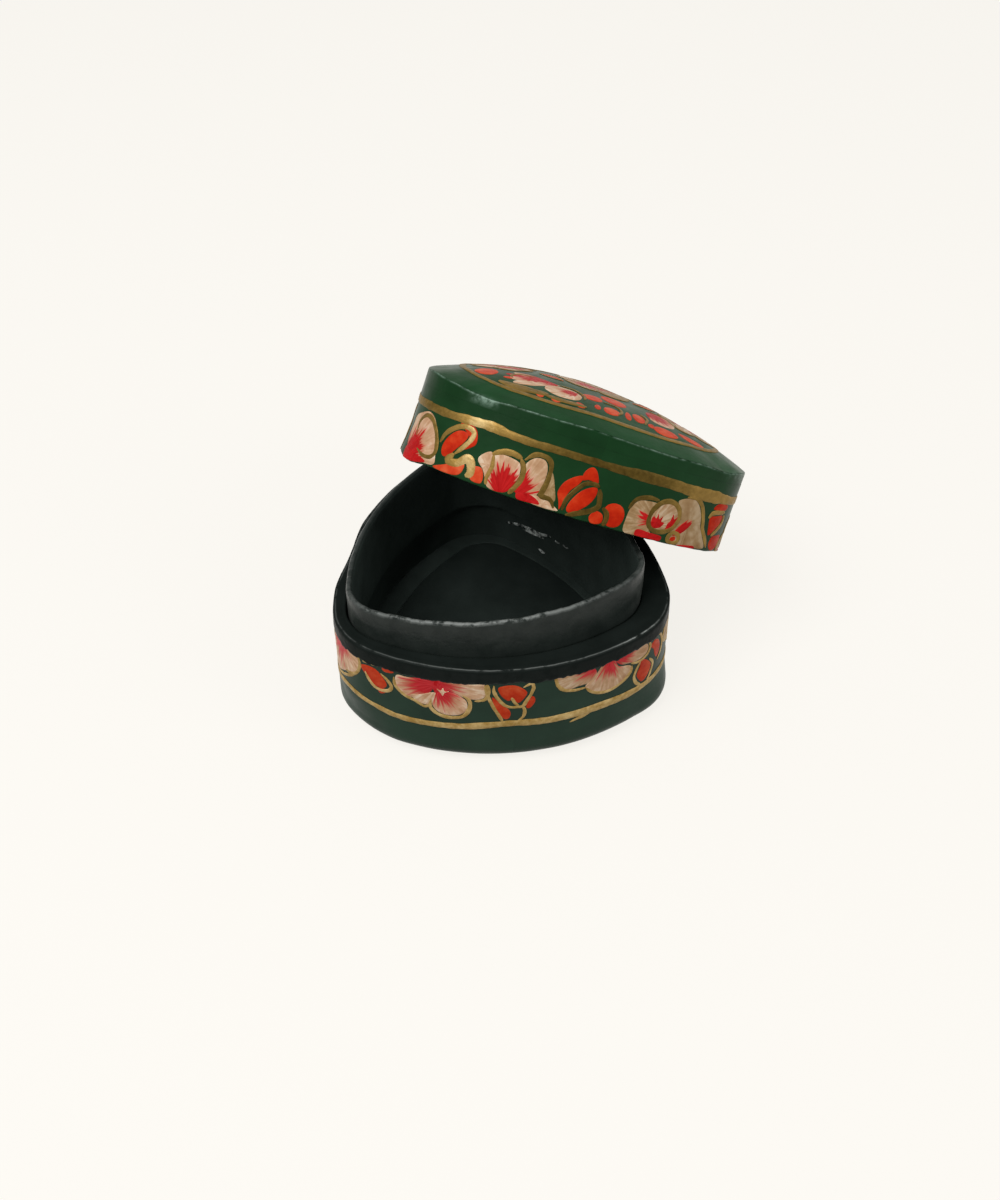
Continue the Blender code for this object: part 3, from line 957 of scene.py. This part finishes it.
def sprig(petals, buds, gold, s, z, up, k):
    """The flowers and buds that repeat round the sides and the back, each a little different."""
    sway, turn = 6 * sin(2.1 * k + 1), 1 if up else -1
    blades = []
    for n, (angle, length, width) in enumerate((
        (74, 11.4, 7.4), (-72, 11.8, 7.8), (42, 10.8, 7.2), (-40, 10.4, 7.6), (2, 10.2, 8.4),
    )):
        blades.append((
            turn * 90 + angle + sway, length * (1 + 0.07 * sin(3 * n + k)), width,
            (0.95, 0.5, 0.0, 0.8, 0.6)[(n + k) % 5], (0.1, 0.7, 0.3, 0.9, 0.2)[(n + 2 * k) % 5],
        ))
    flower(petals, gold, (s, z), blades)
    lean = 7 * sin(1.7 * k)
    bud(buds, gold, s + 13.0, z, turn * 74 + lean, 10.4, 4.4, 0.04, 0.38)
    bud(buds, gold, s + 18.2, z, turn * 104 + lean, 8.4, 5.0, 0.0, 0.38)
    gold.stroke([
        (s + 15.2, z, 0.3), (s + 15.6, z + turn * 6, 0.38), (s + 17.2, z + turn * 9.4, 0.4),
        (s + 19.4, z + turn * 11.4, 0.36),
    ])


def brushes(area, paint, body, wrap, slot, keep, shade, load_and_highlight, press=1.0):
    """The three brushes of one area: petals, buds and gold."""
    place = (wrap, slot, keep)
    return (
        Daubs(area + "_petals", body, paint, *place),
        Daubs(area + "_buds", body, ORANGE, *place, shade=shade),
        Strokes(area + "_gilding", body, GOLD, *place, load_and_highlight=load_and_highlight, press=press),
    )


def paint_base():
    keep = (2.0, WALL_HEIGHT - 2.4)

    def below_lip(s, z, h):
        return on_base(s, z, min(h, 0.09) if z > LIP + 0.2 else h)

    petals, buds, gold = brushes("base", SOFT_PETAL, "base", below_lip, "base_wall", keep, 0.8, lambda s: 0.8)

    # The gold line low on the wall, with the tail of a second stroke
    gold.strokes((-122.6, 11.4, 1, -98, 11, 1, -74, 11.5, 1, -56, 11.6, 1, -45, 12, .9, -40, 12.9, .85,
        -34, 12.2, .85, -27, 10.8, .95, -20, 10.7, .95, -12, 11.1, 1, -5, 11.9, 1.05, 0, 12.2, 1.1,
        8, 11.9, 1.15, 16, 11.9, 1.3, 22, 11.9, 1.35, 28, 11.6, 1.15, 34, 11.95, 1.05, 40, 12.2, 1,
        58, 11.4, 1, 80, 10.9, 1, 100, 11.2, 1, 122.6, 11.4, 1), per_span=16, press=0.86)
    gold.strokes((12.6, 9.7, .2, 14, 10.1, .4, 15.6, 10.5, .5, 17.6, 11.1, .4), per_span=8)

    # Front, left end: a flower half hidden by the lip
    petals.daub(twos(-47, 22, -44, 24.6, -38.5, 24.8, -36.5, 22.5, -38, 19, -42, 15.5, -46, 13.5,
        -49, 16), (-40.5, 26.5), 0.7, 0.1, 0.08)
    petals.daub(twos(-39.5, 24.5, -36, 25, -35.2, 23, -35.5, 20.5, -37, 18.5, -40, 17.5,
        -41, 20), (-41, 25.5), 0.62, 0.1, 0.12)
    gold.strokes(
        (-35.4, 24.8, .3, -34.9, 22.6, .4, -35.6, 20, .42, -37.4, 18, .4, -40.2, 17, .34),
        (-36.4, 19, .3, -38.4, 16.8, .4, -42, 14.6, .42, -46.2, 12.9, .4),
    )

    # Bud beside it
    buds.daubs(
        (-34.8, 22.2, -33, 23.2, -30.5, 22.9, -28.6, 20.6, -28.2, 19, -29.5, 17.8, -31.8, 18.2, -33.4, 20.2),
        (-30.6, 17.4, -28.9, 17.8, -28.2, 17.2, -29.8, 16.1),
        (-29, 24.2, -26.8, 24.5, -26.4, 23.6, -28.5, 23.2),
    )
    gold.strokes(
        (-33.5, 21.2, .34, -32.6, 19.2, .45, -31.2, 17.6, .45, -29.5, 17.2, .45, -27.8, 17.8, .45,
         -27, 19.2, .45, -27.8, 20.8, .42, -29.5, 22.4, .3),
        (-34, 24, .3, -32, 24.3, .4, -30, 24.2, .3),
    )

    # Large flower left of the middle
    petals.daub(twos(-26, 21.5, -25.5, 23.5, -23, 23.6, -19, 24.3, -16.8, 24.2, -17.5, 21.5, -18.5, 20,
        -20.5, 18.2, -23, 17.8, -25.2, 19.2), (-15.8, 23.6), 0.95, 0.0, 0.1)
    petals.daub(twos(-15.5, 24.4, -13, 24.8, -9.5, 24.2, -6.2, 24.3, -5.8, 22.5, -6.5, 20.2, -8.5, 19.6,
        -11, 20.2, -13.5, 21.4, -15.5, 22.6), (-16.8, 23.6), 0.62, 0.1, 0.1)
    petals.daub(twos(-18.6, 24.4, -17.4, 21.6, -16.6, 20.2, -14.4, 21, -14.2, 22.6,
        -14.8, 24.6), None, 1.5, 0.2, 0.08)
    petals.daub(twos(-22.8, 18.6, -21.5, 17.2, -19.8, 16.4, -18.2, 16.8, -17, 18.5, -16.8, 20.5, -18.5, 20.2,
        -20.8, 19.2), (-16.3, 22.6), 0.2, 0.15, 0.13)
    petals.daub(twos(-16.8, 20.5, -17.6, 18.4, -17.5, 16.2, -16, 14.6, -13.5, 14.2, -11.2, 15, -10, 17,
        -10.3, 19.2, -12, 20.6, -14.5, 21.5), (-16.6, 22.4), 0.82, 0.0, 0.15)
    petals.daub(twos(-16.6, 21.9, -15.7, 21.5, -15.2, 22.4, -14.8, 21.4, -13.9, 21.5, -14.8, 20.9,
        -15.3, 19.9, -15.8, 20.8), None, 0.0, 0.0, 0.17)
    gold.strokes(
        (-26.3, 22.6, .3, -26, 20, .4, -24, 17.9, .42, -21.6, 17, .4, -19.6, 15.9, .4, -17.9, 16.6, .4),
        (-17.9, 18.6, .3, -18.1, 16, .42, -16.3, 14.1, .48, -13.4, 13.6, .5, -10.8, 14.5, .5, -9.5, 17, .46,
         -9.6, 19.4, .4, -11, 20.7, .3),
        (-8.4, 19.2, .3, -6.2, 19.8, .4, -5.4, 22.2, .4, -5.7, 24.4, .34),
    )

    # Buds in the middle
    buds.daubs(
        (-4.6, 20.4, -3.4, 19.2, -1.8, 17.5, -.7, 15.6, -1, 13.9, -2, 13.6, -3.3, 15.4, -4.3, 17.8),
        (-3.2, 23.4, -1, 23.9, 1, 23.4, 2.8, 21.6, 2.4, 20, 1, 18.4, -.2, 19.6, -1.2, 19.2, -2.4, 20.4,
         -3.2, 22),
        (3.2, 20.2, 4.4, 19.8, 4.6, 18.2, 3.6, 16.6, 2.8, 16.6, 2.6, 18, 3, 19.2),
    )
    gold.strokes(
        (-6.2, 24.2, .3, -5.6, 21, .4, -4.6, 18, .4, -3.4, 15.2, .4, -2.4, 12.8, .4),
        (-4.3, 24, .3, -4.2, 22, .4, -3.4, 20, .4, -2.2, 18.2, .4, -.8, 17.3, .4, .8, 17.2, .4, 2, 17.4, .4,
         2.8, 19, .4, 3.6, 20.6, .4, 4.2, 22.6, .4, 3.9, 24, .38, 3, 23.6, .34, 2, 23, .3),
        (-.5, 20.2, .3, .1, 18.8, .38, .9, 17.6, .34),
        (2, 17.2, .34, 2.4, 15.6, .4, 2, 14, .4, 1, 12.8, .34),
    )

    # Large flower right of the middle
    petals.daub(twos(8.9, 25, 10, 25.2, 13, 24.6, 16, 24.6, 18, 24.2, 18.6, 22.2, 17, 20.4, 14.5, 20.2,
        11.8, 20, 10, 21.6, 8.9, 23.2), (19.4, 24.5), 0.6, 0.45, 0.1)
    petals.daub(twos(23, 24.6, 26, 24.9, 29, 24.8, 31.6, 24.8, 32.6, 23, 31.8, 21.4, 29.5, 20.8, 27, 21.4,
        24.8, 22.2), (22.6, 25.0), 0.72, 0.3, 0.1)
    petals.daub(twos(16, 19.6, 17.2, 20.8, 18.8, 22.5, 20.5, 25, 22.8, 24.8, 24.2, 22, 27, 20.8, 27.8, 19.6,
        27, 17.8, 24.8, 16.3, 22, 15.6, 19, 16.2, 16.8, 17.8), (21.8, 25.6), 0.7, 0.3, 0.14)
    gold.strokes(
        (9, 24.8, .34, 9.6, 22, .42, 11, 20.2, .42, 13.5, 19.3, .42, 16, 19.2, .36),
        (27.9, 20.2, .34, 27.6, 18.4, .44, 25.8, 16.8, .46, 23, 15.8, .46, 20, 16, .44, 17.5, 17.4, .4,
         16.2, 19, .34),
        (27.6, 21, .3, 29.8, 20.3, .4, 32.2, 21, .42, 33.2, 23, .4, 32.4, 25, .3),
    )

    # Buds at the right corner
    buds.daubs(
        (29.6, 20.6, 31, 20.4, 33, 18.6, 34, 16.6, 33, 14.2, 31.4, 13.2, 30.2, 14.6, 29.6, 16.4, 30.4, 18.6),
        (33.4, 22.6, 34.8, 23.6, 36.4, 22.6, 37.4, 20.4, 37, 18.4, 36, 17.6, 35.2, 19, 34.6, 21),
    )
    gold.strokes(
        (30.4, 20, .3, 29.3, 18, .4, 28.8, 16, .42, 29.6, 13.8, .42, 31, 12.4, .36),
        (33.2, 19.2, .3, 34.6, 17, .42, 34, 14.4, .42, 33, 12.6, .36),
        (35.8, 25.2, .3, 37.6, 23, .4, 38.4, 20.5, .42, 37.8, 18, .4, 36.4, 16.4, .3),
    )

    # Round the sides and the back
    for k, s in enumerate(ROUND):
        sprig(petals, buds, gold, s, 25.2, False, k)
    for brush in (petals, buds, gold):
        brush.done()


def lid_gold_load_and_sheen(s):
    """How bright the gold is round the lid: partly how heavily it lies, partly painted reflection, dark along
    the middle of the front as painted shade and bright at its ends with a painted highlight near the left
    end.
    """
    marks = twos(-123, .6, -50, .5, -42, .38, -35, .42, -31, .62, -27, .92, -22, .66, -16, .45, -8, .28,
        0, .14, 12, .18, 18, .34, 24, .56, 34, .66, 123, .6)
    for (a, first), (b, last) in zip(marks, marks[1:]):
        if a <= s < b:
            return first + (last - first) * (s - a) / (b - a)
    return 0.6


def paint_lid():
    keep = (0.25, LID_SIDE - 1.0)
    petals, buds, gold = brushes("lid", PETAL, "lid", on_lid, "lid_wall", keep, 0.2, lid_gold_load_and_sheen, 1.2)

    gold.strokes((-122.6, 12.6, .95, -100, 12.5, .95, -76, 12.6, .95, -58, 12.5, .95, -43, 12.3, 1,
        -35, 12.2, 1, -30, 12.5, 1.1, -24, 12.9, 1.2, -20, 12.6, 1, -15, 12.5, .95, -10, 12.7, .9,
        0, 12.8, .9, 5, 12.8, 1, 8, 12.9, 1.3, 12, 12.9, 1.4, 17, 12.9, 1.35, 22, 12.6, 1.4, 26, 12.4, 1.6,
        30, 12.4, 1.6, 34, 12.3, 1.3, 38, 12.2, 1.1, 52, 12.5, .95, 76, 12.6, .95, 100, 12.5, .95,
        122.6, 12.6, .95), per_span=14, press=0.86)

    # Flower at the left corner, with the daub under it
    petals.daub(twos(-46, 8.5, -43, 10.2, -40, 11, -37.5, 9.8, -35.6, 6.8, -34.6, 3, -34.4, 1, -37, .5,
        -41, 1, -44, 1.8, -46, 4), (-44.5, 0.2), 0.74, 0.05, 0.1)
    petals.daub(twos(-45, 2.5, -41, 1.9, -37.5, 1.3, -37, .6, -41, .2, -45, .2), None, 1.5, 0.3, 0.13)
    gold.strokes((-42.6, 5.2, .26, -43, 8, .32, -41, 10, .4, -38.6, 9.8, .42, -36.6, 8.1, .44,
        -35.3, 5.8, .44, -34.9, 3.6, .44, -36, 2.1, .4, -38.2, 2, .34, -40.6, 2.9, .26))

    # Buds beside it
    buds.daubs(
        (-33.6, 5.2, -33, 7.4, -31.4, 9.4, -29.6, 10, -28.4, 9.4, -29, 7.6, -30.4, 5.6, -31.6, 3.8, -33, 3.6),
        (-31, 11.3, -28.5, 11.8, -26.8, 10.8, -26.2, 8.4, -27.4, 7, -28.6, 6.4, -27.8, 8.6, -28.4, 10.4),
    )
    buds.daubs(
        (-34.4, .6, -32, 1.8, -29.5, 3, -27.4, 3.4, -27.6, 1.4, -29, .5, -32, .3),
        (-25.4, 3.6, -23.6, 4, -22.6, 2.4, -22.8, .8, -25, .8, -25.6, 2),
        tone=0.9,
    )
    gold.strokes(
        (-34.4, 6, .36, -33.6, 8.2, .45, -31.6, 10.2, .45, -29.4, 11, .45, -27.6, 10.6, .45, -27.4, 9.2, .45,
         -28.6, 7, .42, -30.2, 4.8, .36),
        (-30.4, 4.8, .55, -31.2, 3, .72, -29, 3.2, .74, -27.2, 4.7, .8, -26.1, 4.2, .8, -25.5, 2.2, .74,
         -26.4, 1.2, .55),
    )

    # Large flower left of the middle
    petals.daub(twos(-24.8, 5.4, -24, 7, -22.4, 7.9, -21.6, 6.2, -21.8, 3.6, -21.6, 1.4,
        -23, 3.6), None, 0.0, 0.12, 0.09)
    petals.daub(twos(-22, 7.2, -20.2, 8.1, -17.8, 8.1, -15.8, 7.4, -15.4, 5, -16, 2.6, -17.2, .8, -20, .4,
        -21.8, 1.6), (-18, -0.2), 0.84, 0.1, 0.12)
    petals.daub(twos(-15.2, 1.6, -15.4, 5, -14.6, 8.2, -13, 9.8, -11, 9.8, -10, 8, -10, 5, -10.6, 2.4,
        -12, 1.6), (-15.2, 0.6), 0.66, 0.3, 0.12)
    petals.daub(twos(-9.6, 8, -8.6, 7.6, -7.4, 5, -6.6, 2.4, -8.6, 2, -9.6, 4), None, 0.0, 0.95, 0.1)
    petals.daub(twos(-12, 2.2, -9, 2.2, -6.6, 1.4, -5.4, .6, -8.4, .3, -12, .6), None, 0.0, 0.2, 0.1)
    petals.daub(twos(-14.6, 1.9, -12, 2.2, -9.8, 1.4, -9.4, .6, -11.6, .4, -14.4, .4), None, 1.5, 0.2, 0.12)
    gold.strokes(
        (-22.2, 7.6, .4, -20, 8.8, .5, -17.8, 9.1, .5, -15.8, 8.7, .4),
        (-16, 8.6, .4, -14.8, 6.6, .5, -14.8, 4.2, .5, -15.6, 2.2, .46, -16.4, .8, .4),
        (-15.2, 8.6, .34, -13.4, 10.4, .45, -11, 10.6, .45, -9.6, 9.4, .45, -9.3, 6.6, .45, -9.6, 4, .45,
         -9.8, 2.6, .45, -7.6, 2.4, .42, -6.4, .9, .36),
        (-21.8, 7.6, .3, -21.4, 5, .4, -21.8, 2.6, .4, -21.6, 1, .34),
    )

    # Tulip and berries in the middle
    buds.daubs(
        (-5.8, 2.6, -6.6, 4.6, -5.8, 7, -3.8, 8.8, -2.2, 9.2, -2.8, 7.4, -4.2, 5.4, -5, 2.6, -5.2, 1),
        (-2.6, 9.8, -2, 11, -1, 11.6, 0, 11, .8, 9.6, .9, 8.6, -1, 8.8, -2.4, 8.4),
        (-3.8, 1.6, -3.4, 3.6, -2, 6, -.2, 7.4, 1.2, 7.6, 1.4, 6, .6, 4, -1, 2.2, -2.8, 1),
        (1.4, 1.6, 2.4, 3, 4.1, 2.6, 4.4, 1, 3.2, .3, 1.9, .4),
        (4, 3.4, 4.6, 5, 6.2, 5.7, 8, 5.2, 8.9, 3.4, 8.4, 1.4, 7, .6, 5.4, .8, 5, 2.2),
    )
    gold.strokes(
        (-4.6, 1, .34, -4.4, 3.4, .4, -3.2, 5.8, .4, -1.6, 7.8, .4, .2, 8.3, .4, 1.6, 8, .34),
        (1.8, 7.6, .4, 2.4, 5.6, .5, 2.6, 4, .5, 1.4, 2.8, .5, -.6, 1.7, .5, -3.6, .3, .42),
        (3.6, 4, .36, 4.8, 3.2, .45, 5.2, 1.8, .45, 4.8, .4, .4),
    )

    # Large flower right of the middle, round its gold ring
    petals.daub(twos(9.6, .6, 9.4, 3.4, 9.7, 5.8, 11, 7.6, 13.2, 8.1, 15.6, 8.1, 16.4, 7.4, 15, 6, 14.4, 4,
        15, 2.2, 16.6, 1, 14.6, .2, 11.6, .2), (16.4, 4), 0.6, 0.8, 0.1)
    petals.daub(twos(20.4, 9.6, 22, 10.6, 24.4, 10.9, 26.4, 9.8, 28, 7.6, 29, 5.2, 30.8, 3, 32.2, .8, 28, .4,
        24, .4, 21.4, 1, 21, 3, 22.4, 5, 22, 8), None, 0.0, 0.8, 0.09)
    petals.daub(twos(21.6, 2.4, 23, 4.8, 25.2, 6.6, 26, 5.6, 24.6, 3.6,
        22.6, 2.2), (21.2, 1.6), 1.05, 0.5, 0.13)
    petals.daub(twos(15, 5.8, 16, 7.8, 18.6, 8.8, 20.8, 8, 21.6, 6.4, 21, 4.4, 19.6, 3.2, 17.4, 2.6,
        15.6, 3), (15.2, 3.2), 0.3, 0.55, 0.12)
    petals.daub(twos(16, 2.8, 15.3, 3.8, 15.4, 5.4, 16.2, 4.8, 16.5, 6.2, 17.1, 5, 17.9, 5.9, 17.9, 4.4,
        18.8, 4.4, 17.9, 3), None, 1.5, 0.3, 0.14)
    petals.daub(twos(19.3, 3, 19.4, 4.4, 19.9, 5.2, 20.2, 6.9, 20.8, 5.8, 21.6, 6.4, 21.3, 5, 21, 3.9,
        20.2, 3.1), None, 1.5, 0.3, 0.14)
    petals.daub(twos(12.6, 1.8, 16.4, 1.6, 19, 1.4, 18.8, .3, 15.6, .2, 12.4, .3), None, 1.4, 0.3, 0.13)
    petals.daub(twos(24, .4, 28.5, .9, 29, .3, 24.6, .2), None, 1.4, 0.3, 0.13)
    gold.strokes(
        (14.6, 4.4, .45, 15, 6.6, .48, 16.6, 8.6, .5, 18.8, 9.2, .5, 20.8, 8.4, .48, 22, 6.4, .45,
         21.4, 4.2, .45, 19.8, 2.8, .45, 17.4, 2.2, .45, 15.4, 2.8, .45),
        (20.8, 1.8, .4, 21.8, 2.8, .42, 23.4, 2.5, .42, 23.7, 1.2, .4, 22.4, .5, .4, 21.1, .8, .4),
        closed=True,
    )
    gold.strokes(
        (9.2, 5.4, .3, 10.4, 7.8, .4, 13, 8.8, .42, 15.6, 8.8, .34),
        (22.4, 11, .3, 25, 11.2, .4, 27.2, 9.9, .42, 28.8, 7.4, .42, 29.8, 5, .4, 31.6, 3, .4, 33, 1, .3),
    )
    buds.daubs((21.6, 1.8, 22.6, 2.1, 23, 1.4, 22.2, .9, 21.5, 1.1))

    # Leaves at the right corner
    buds.daubs(
        (31.2, 9.8, 32.2, 11, 34.4, 11.2, 36.6, 11, 36.2, 9.9, 33, 9.6),
        (31, 7.8, 33, 8.3, 35.6, 8.6, 35.8, 7, 34, 5, 32.4, 3.8, 31.6, 5.4),
        (34.2, 3.6, 36.5, 4, 38.5, 4, 38.6, 2, 37, .6, 35, .6, 33.8, 1.8),
    )
    gold.strokes(
        (30.4, 7.6, .36, 31.4, 8.8, .45, 33.4, 9.2, .45, 36, 9.4, .38),
        (36.2, 8.8, .34, 36.6, 7, .42, 35, 5, .42, 33.4, 3.8, .34),
    )

    # Round the sides and the back
    for k, s in enumerate(ROUND):
        sprig(petals, buds, gold, s, -0.4, True, k + 3)
    for brush in (petals, buds, gold):
        brush.done()


def paint_crown():
    petals, buds, gold = brushes("crown", PETAL, "lid", on_crown, "lid_crown", ANYWHERE, 1.0, lambda s: 0.5)
    ring = []
    for k in range(48):
        a = 2 * pi * k / 48
        far = (0.81 + 0.008 * sin(5 * a)) * toward(cos(a), sin(a))[0]
        ring.append((far * cos(a), far * sin(a), 0.88 + 0.12 * sin(3 * a)))
    gold.stroke(ring, closed=True, per_span=8, press=0.86)

    # Front of the crown, left to right
    buds.daubs((-28, -15, -26, -12, -23.4, -11.6, -22.8, -14.6, -24.6, -17.4, -27, -17.4))
    gold.strokes(
        (-23, -21, .9, -19.6, -23, 1.7, -15.6, -24.2, 1.6, -12.4, -24.2, .9),
        (-13, -25, .7, -9, -26, 1.1, -4, -26.4, .7),
        per_span=6,
    )
    for angle, length, width, flame, tone in (
        (158, 10.5, 3.6, 0.9, 0.0), (205, 11.6, 3.6, 0.45, 0.0), (174, 11.8, 3.4, 1.25, 0.0),
        (189, 12.0, 3.2, 0.85, 0.0),
    ):
        petals.daub(leaf(-9.4, -15.6, angle, length, width), (-9.4, -15.6), flame, tone, 0.1)
    petals.daub(twos(-12.8, -21, -10, -23.6, -6, -23.4, -4.5, -20, -6, -17, -9.6, -16.4,
        -12.2, -18), (-5.4, -18.6), 0.66, 0.0, 0.12)
    for x, y, wide, tall in (
        (-20.5, -17.5, 2.4, 1.6), (-14.2, -25, 1.8, 3), (-11, -26, 2.2, 3), (-5.5, -26, 2.2, 3),
        (-1.5, -18, 5, 4.5), (-1.2, -24, 1.5, 3), (1.8, -24, 4, 4.5), (4, -15, 6, 6), (6, -23, 1.5, 5),
        (8.5, -22, 3, 5), (11.5, -23.5, 1.6, 2.4), (14.5, -24, 6, 4.6), (21.5, -21, 6.4, 3),
    ):
        buds.daub([
            (x + 0.5 * wide * (1 + 0.16 * sin(7 * a + x)) * cos(a),
             y + 0.5 * tall * sin(a + 0.2 * sin(y)))
            for a in [radians(45 * k) for k in range(8)]
        ])
    petals.daub(twos(11.5, -17, 12.4, -19.6, 15, -20.2, 17.6, -18.6, 18.4, -15, 17, -12.2, 13.6, -12,
        11.6, -14), (11.4, -13.4), 0.95, 0.0, 0.1)
    gold.strokes(
        (-20, -17, .3, -19.6, -14.6, .36, -17.2, -12.8, .36, -14.6, -13.2, .3),
        (-4, -21.6, .3, -3.8, -19, .36, -5.6, -15.8, .36, -9, -15.2, .3),
        (3.4, -25, .3, 4.6, -22, .36, 3.6, -19.4, .36, .6, -19, .3),
        (9.8, -24.4, .3, 10.8, -20.6, .36, 9.4, -18.6, .3),
        (19, -16, .3, 18.6, -12.8, .36, 15.6, -11.4, .36, 12.6, -11.6, .3),
    )

    # The rest of the crown
    for n, (x, y, size, start) in enumerate((
        (22.5, -9.5, 7.0, 30), (-21.5, -3.0, 7.0, 70), (1.0, -2.0, 9.5, 15), (-11.5, 13.0, 7.0, 50),
        (12.0, 12.5, 7.0, 10), (0.0, 24.5, 7.0, 40),
    )):
        blades = []
        for k in range(5):
            angle = start + 72 * k + 6 * sin(3 * n + 2 * k)
            blades.append((
                angle, size * (1 + 0.08 * sin(5 * k + n)), size * 0.9,
                (0.9, 0.5, 0.75, 0.0, 0.6)[(k + n) % 5],
                (0.2 + 0.37 * k + 0.13 * n) % 1.0,
            ))
        flower(petals, gold, (x, y), blades, half=0.36)
        gold.stroke([(x - 0.5, y, 0.4), (x, y + 0.5, 0.5), (x + 0.5, y, 0.4)], per_span=4)
    for x, y, angle, length, width in (
        (-7.5, -8.5, 140, 6.0, 3.4), (9.5, -8.5, 20, 6.0, 3.4), (-18.0, 6.0, 110, 5.6, 3.0),
        (19.0, 2.0, 70, 5.6, 3.0), (-7.0, 20.5, 120, 5.4, 3.0), (8.0, 20.5, 60, 5.4, 3.0),
        (0.5, 12.0, 90, 5.4, 3.2), (-12.5, 1.0, 200, 5.0, 3.0), (13.0, 0.5, -20, 5.0, 3.0),
    ):
        bud(buds, gold, x, y, angle, length, width, 0.02, 0.28)
    for brush in (petals, buds, gold):
        brush.done()


base_wall()
black_lip()
collar()
glue_seam()
lid_wall()
lid_crown()
paint_base()
paint_lid()
paint_crown()
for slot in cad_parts["base_floor"].material_slots:
    slot.material = FLOOR_BLACK


# Camera, lamps and floor
def stand():
    camera = bpy.data.cameras.new("camera")
    camera.lens = 44.19
    camera.sensor_width = 36
    camera.clip_start, camera.clip_end = 0.01, 20
    eye = bpy.data.objects.new("camera", camera)
    eye.location = (-0.02289, -0.25498, 0.24561)
    eye.rotation_euler = (radians(48), 0, radians(-5.307))
    bpy.context.scene.collection.objects.link(eye)
    bpy.context.scene.camera = eye


def lamp(name, place, size, power):
    data = bpy.data.lights.new(name, "AREA")
    data.shape = "RECTANGLE"
    data.size, data.size_y = size
    data.energy = power
    item = bpy.data.objects.new(name, data)
    item.location = place
    item.rotation_euler = (Vector((0, 0, 0.03)) - Vector(place)).to_track_quat("-Z", "Y").to_euler()
    bpy.context.scene.collection.objects.link(item)


def studio():
    world = bpy.data.worlds.new("studio")
    bpy.context.scene.world = world
    world.use_nodes = True
    sky = world.node_tree.nodes["Background"].inputs
    feed(sky["Color"], (1.0, 0.985, 0.96))
    feed(sky["Strength"], 0.36)
    lamp("softbox", (-0.35, -0.30, 0.75), (0.5, 0.5), 4.8)
    lamp("side_panel", (0.65, -0.35, 0.45), (0.35, 0.5), 1.4)
    far, low = 3.0, -0.0004       # the floor's reach, and its depth below the foot
    mesh = bpy.data.meshes.new("floor")
    corners = [(-far, -far, low), (far, -far, low), (far, far, low), (-far, far, low)]
    mesh.from_pydata(corners, [], [(0, 1, 2, 3)])
    mesh.shade_smooth()
    floor = bpy.data.objects.new("floor", mesh)
    bpy.context.scene.collection.objects.link(floor)
    made = bpy.data.materials.new("pale studio paper")
    made.use_nodes = True
    tree = made.node_tree
    tree.nodes.clear()
    out, matte, glow, seen, both = (tree.nodes.new("ShaderNode" + kind) for kind in (
        "OutputMaterial", "BsdfDiffuse", "Emission", "LightPath", "AddShader",
    ))
    feed(matte.inputs["Color"], (0.14, 0.135, 0.13))
    feed(glow.inputs["Color"], (0.845, 0.825, 0.78))
    seen = [seen.outputs[kind] for kind in ("Is Camera Ray", "Is Glossy Ray", "Is Transmission Ray")]
    feed(glow.inputs["Strength"], maths("MAXIMUM", maths("MAXIMUM", *seen[:2]), seen[2]))
    feed(both.inputs[0], matte.outputs[0])
    feed(both.inputs[1], glow.outputs[0])
    feed(out.inputs["Surface"], both.outputs[0])
    mesh.materials.append(made)


stand()
studio()
bpy.context.scene.view_settings.view_transform = "Standard"
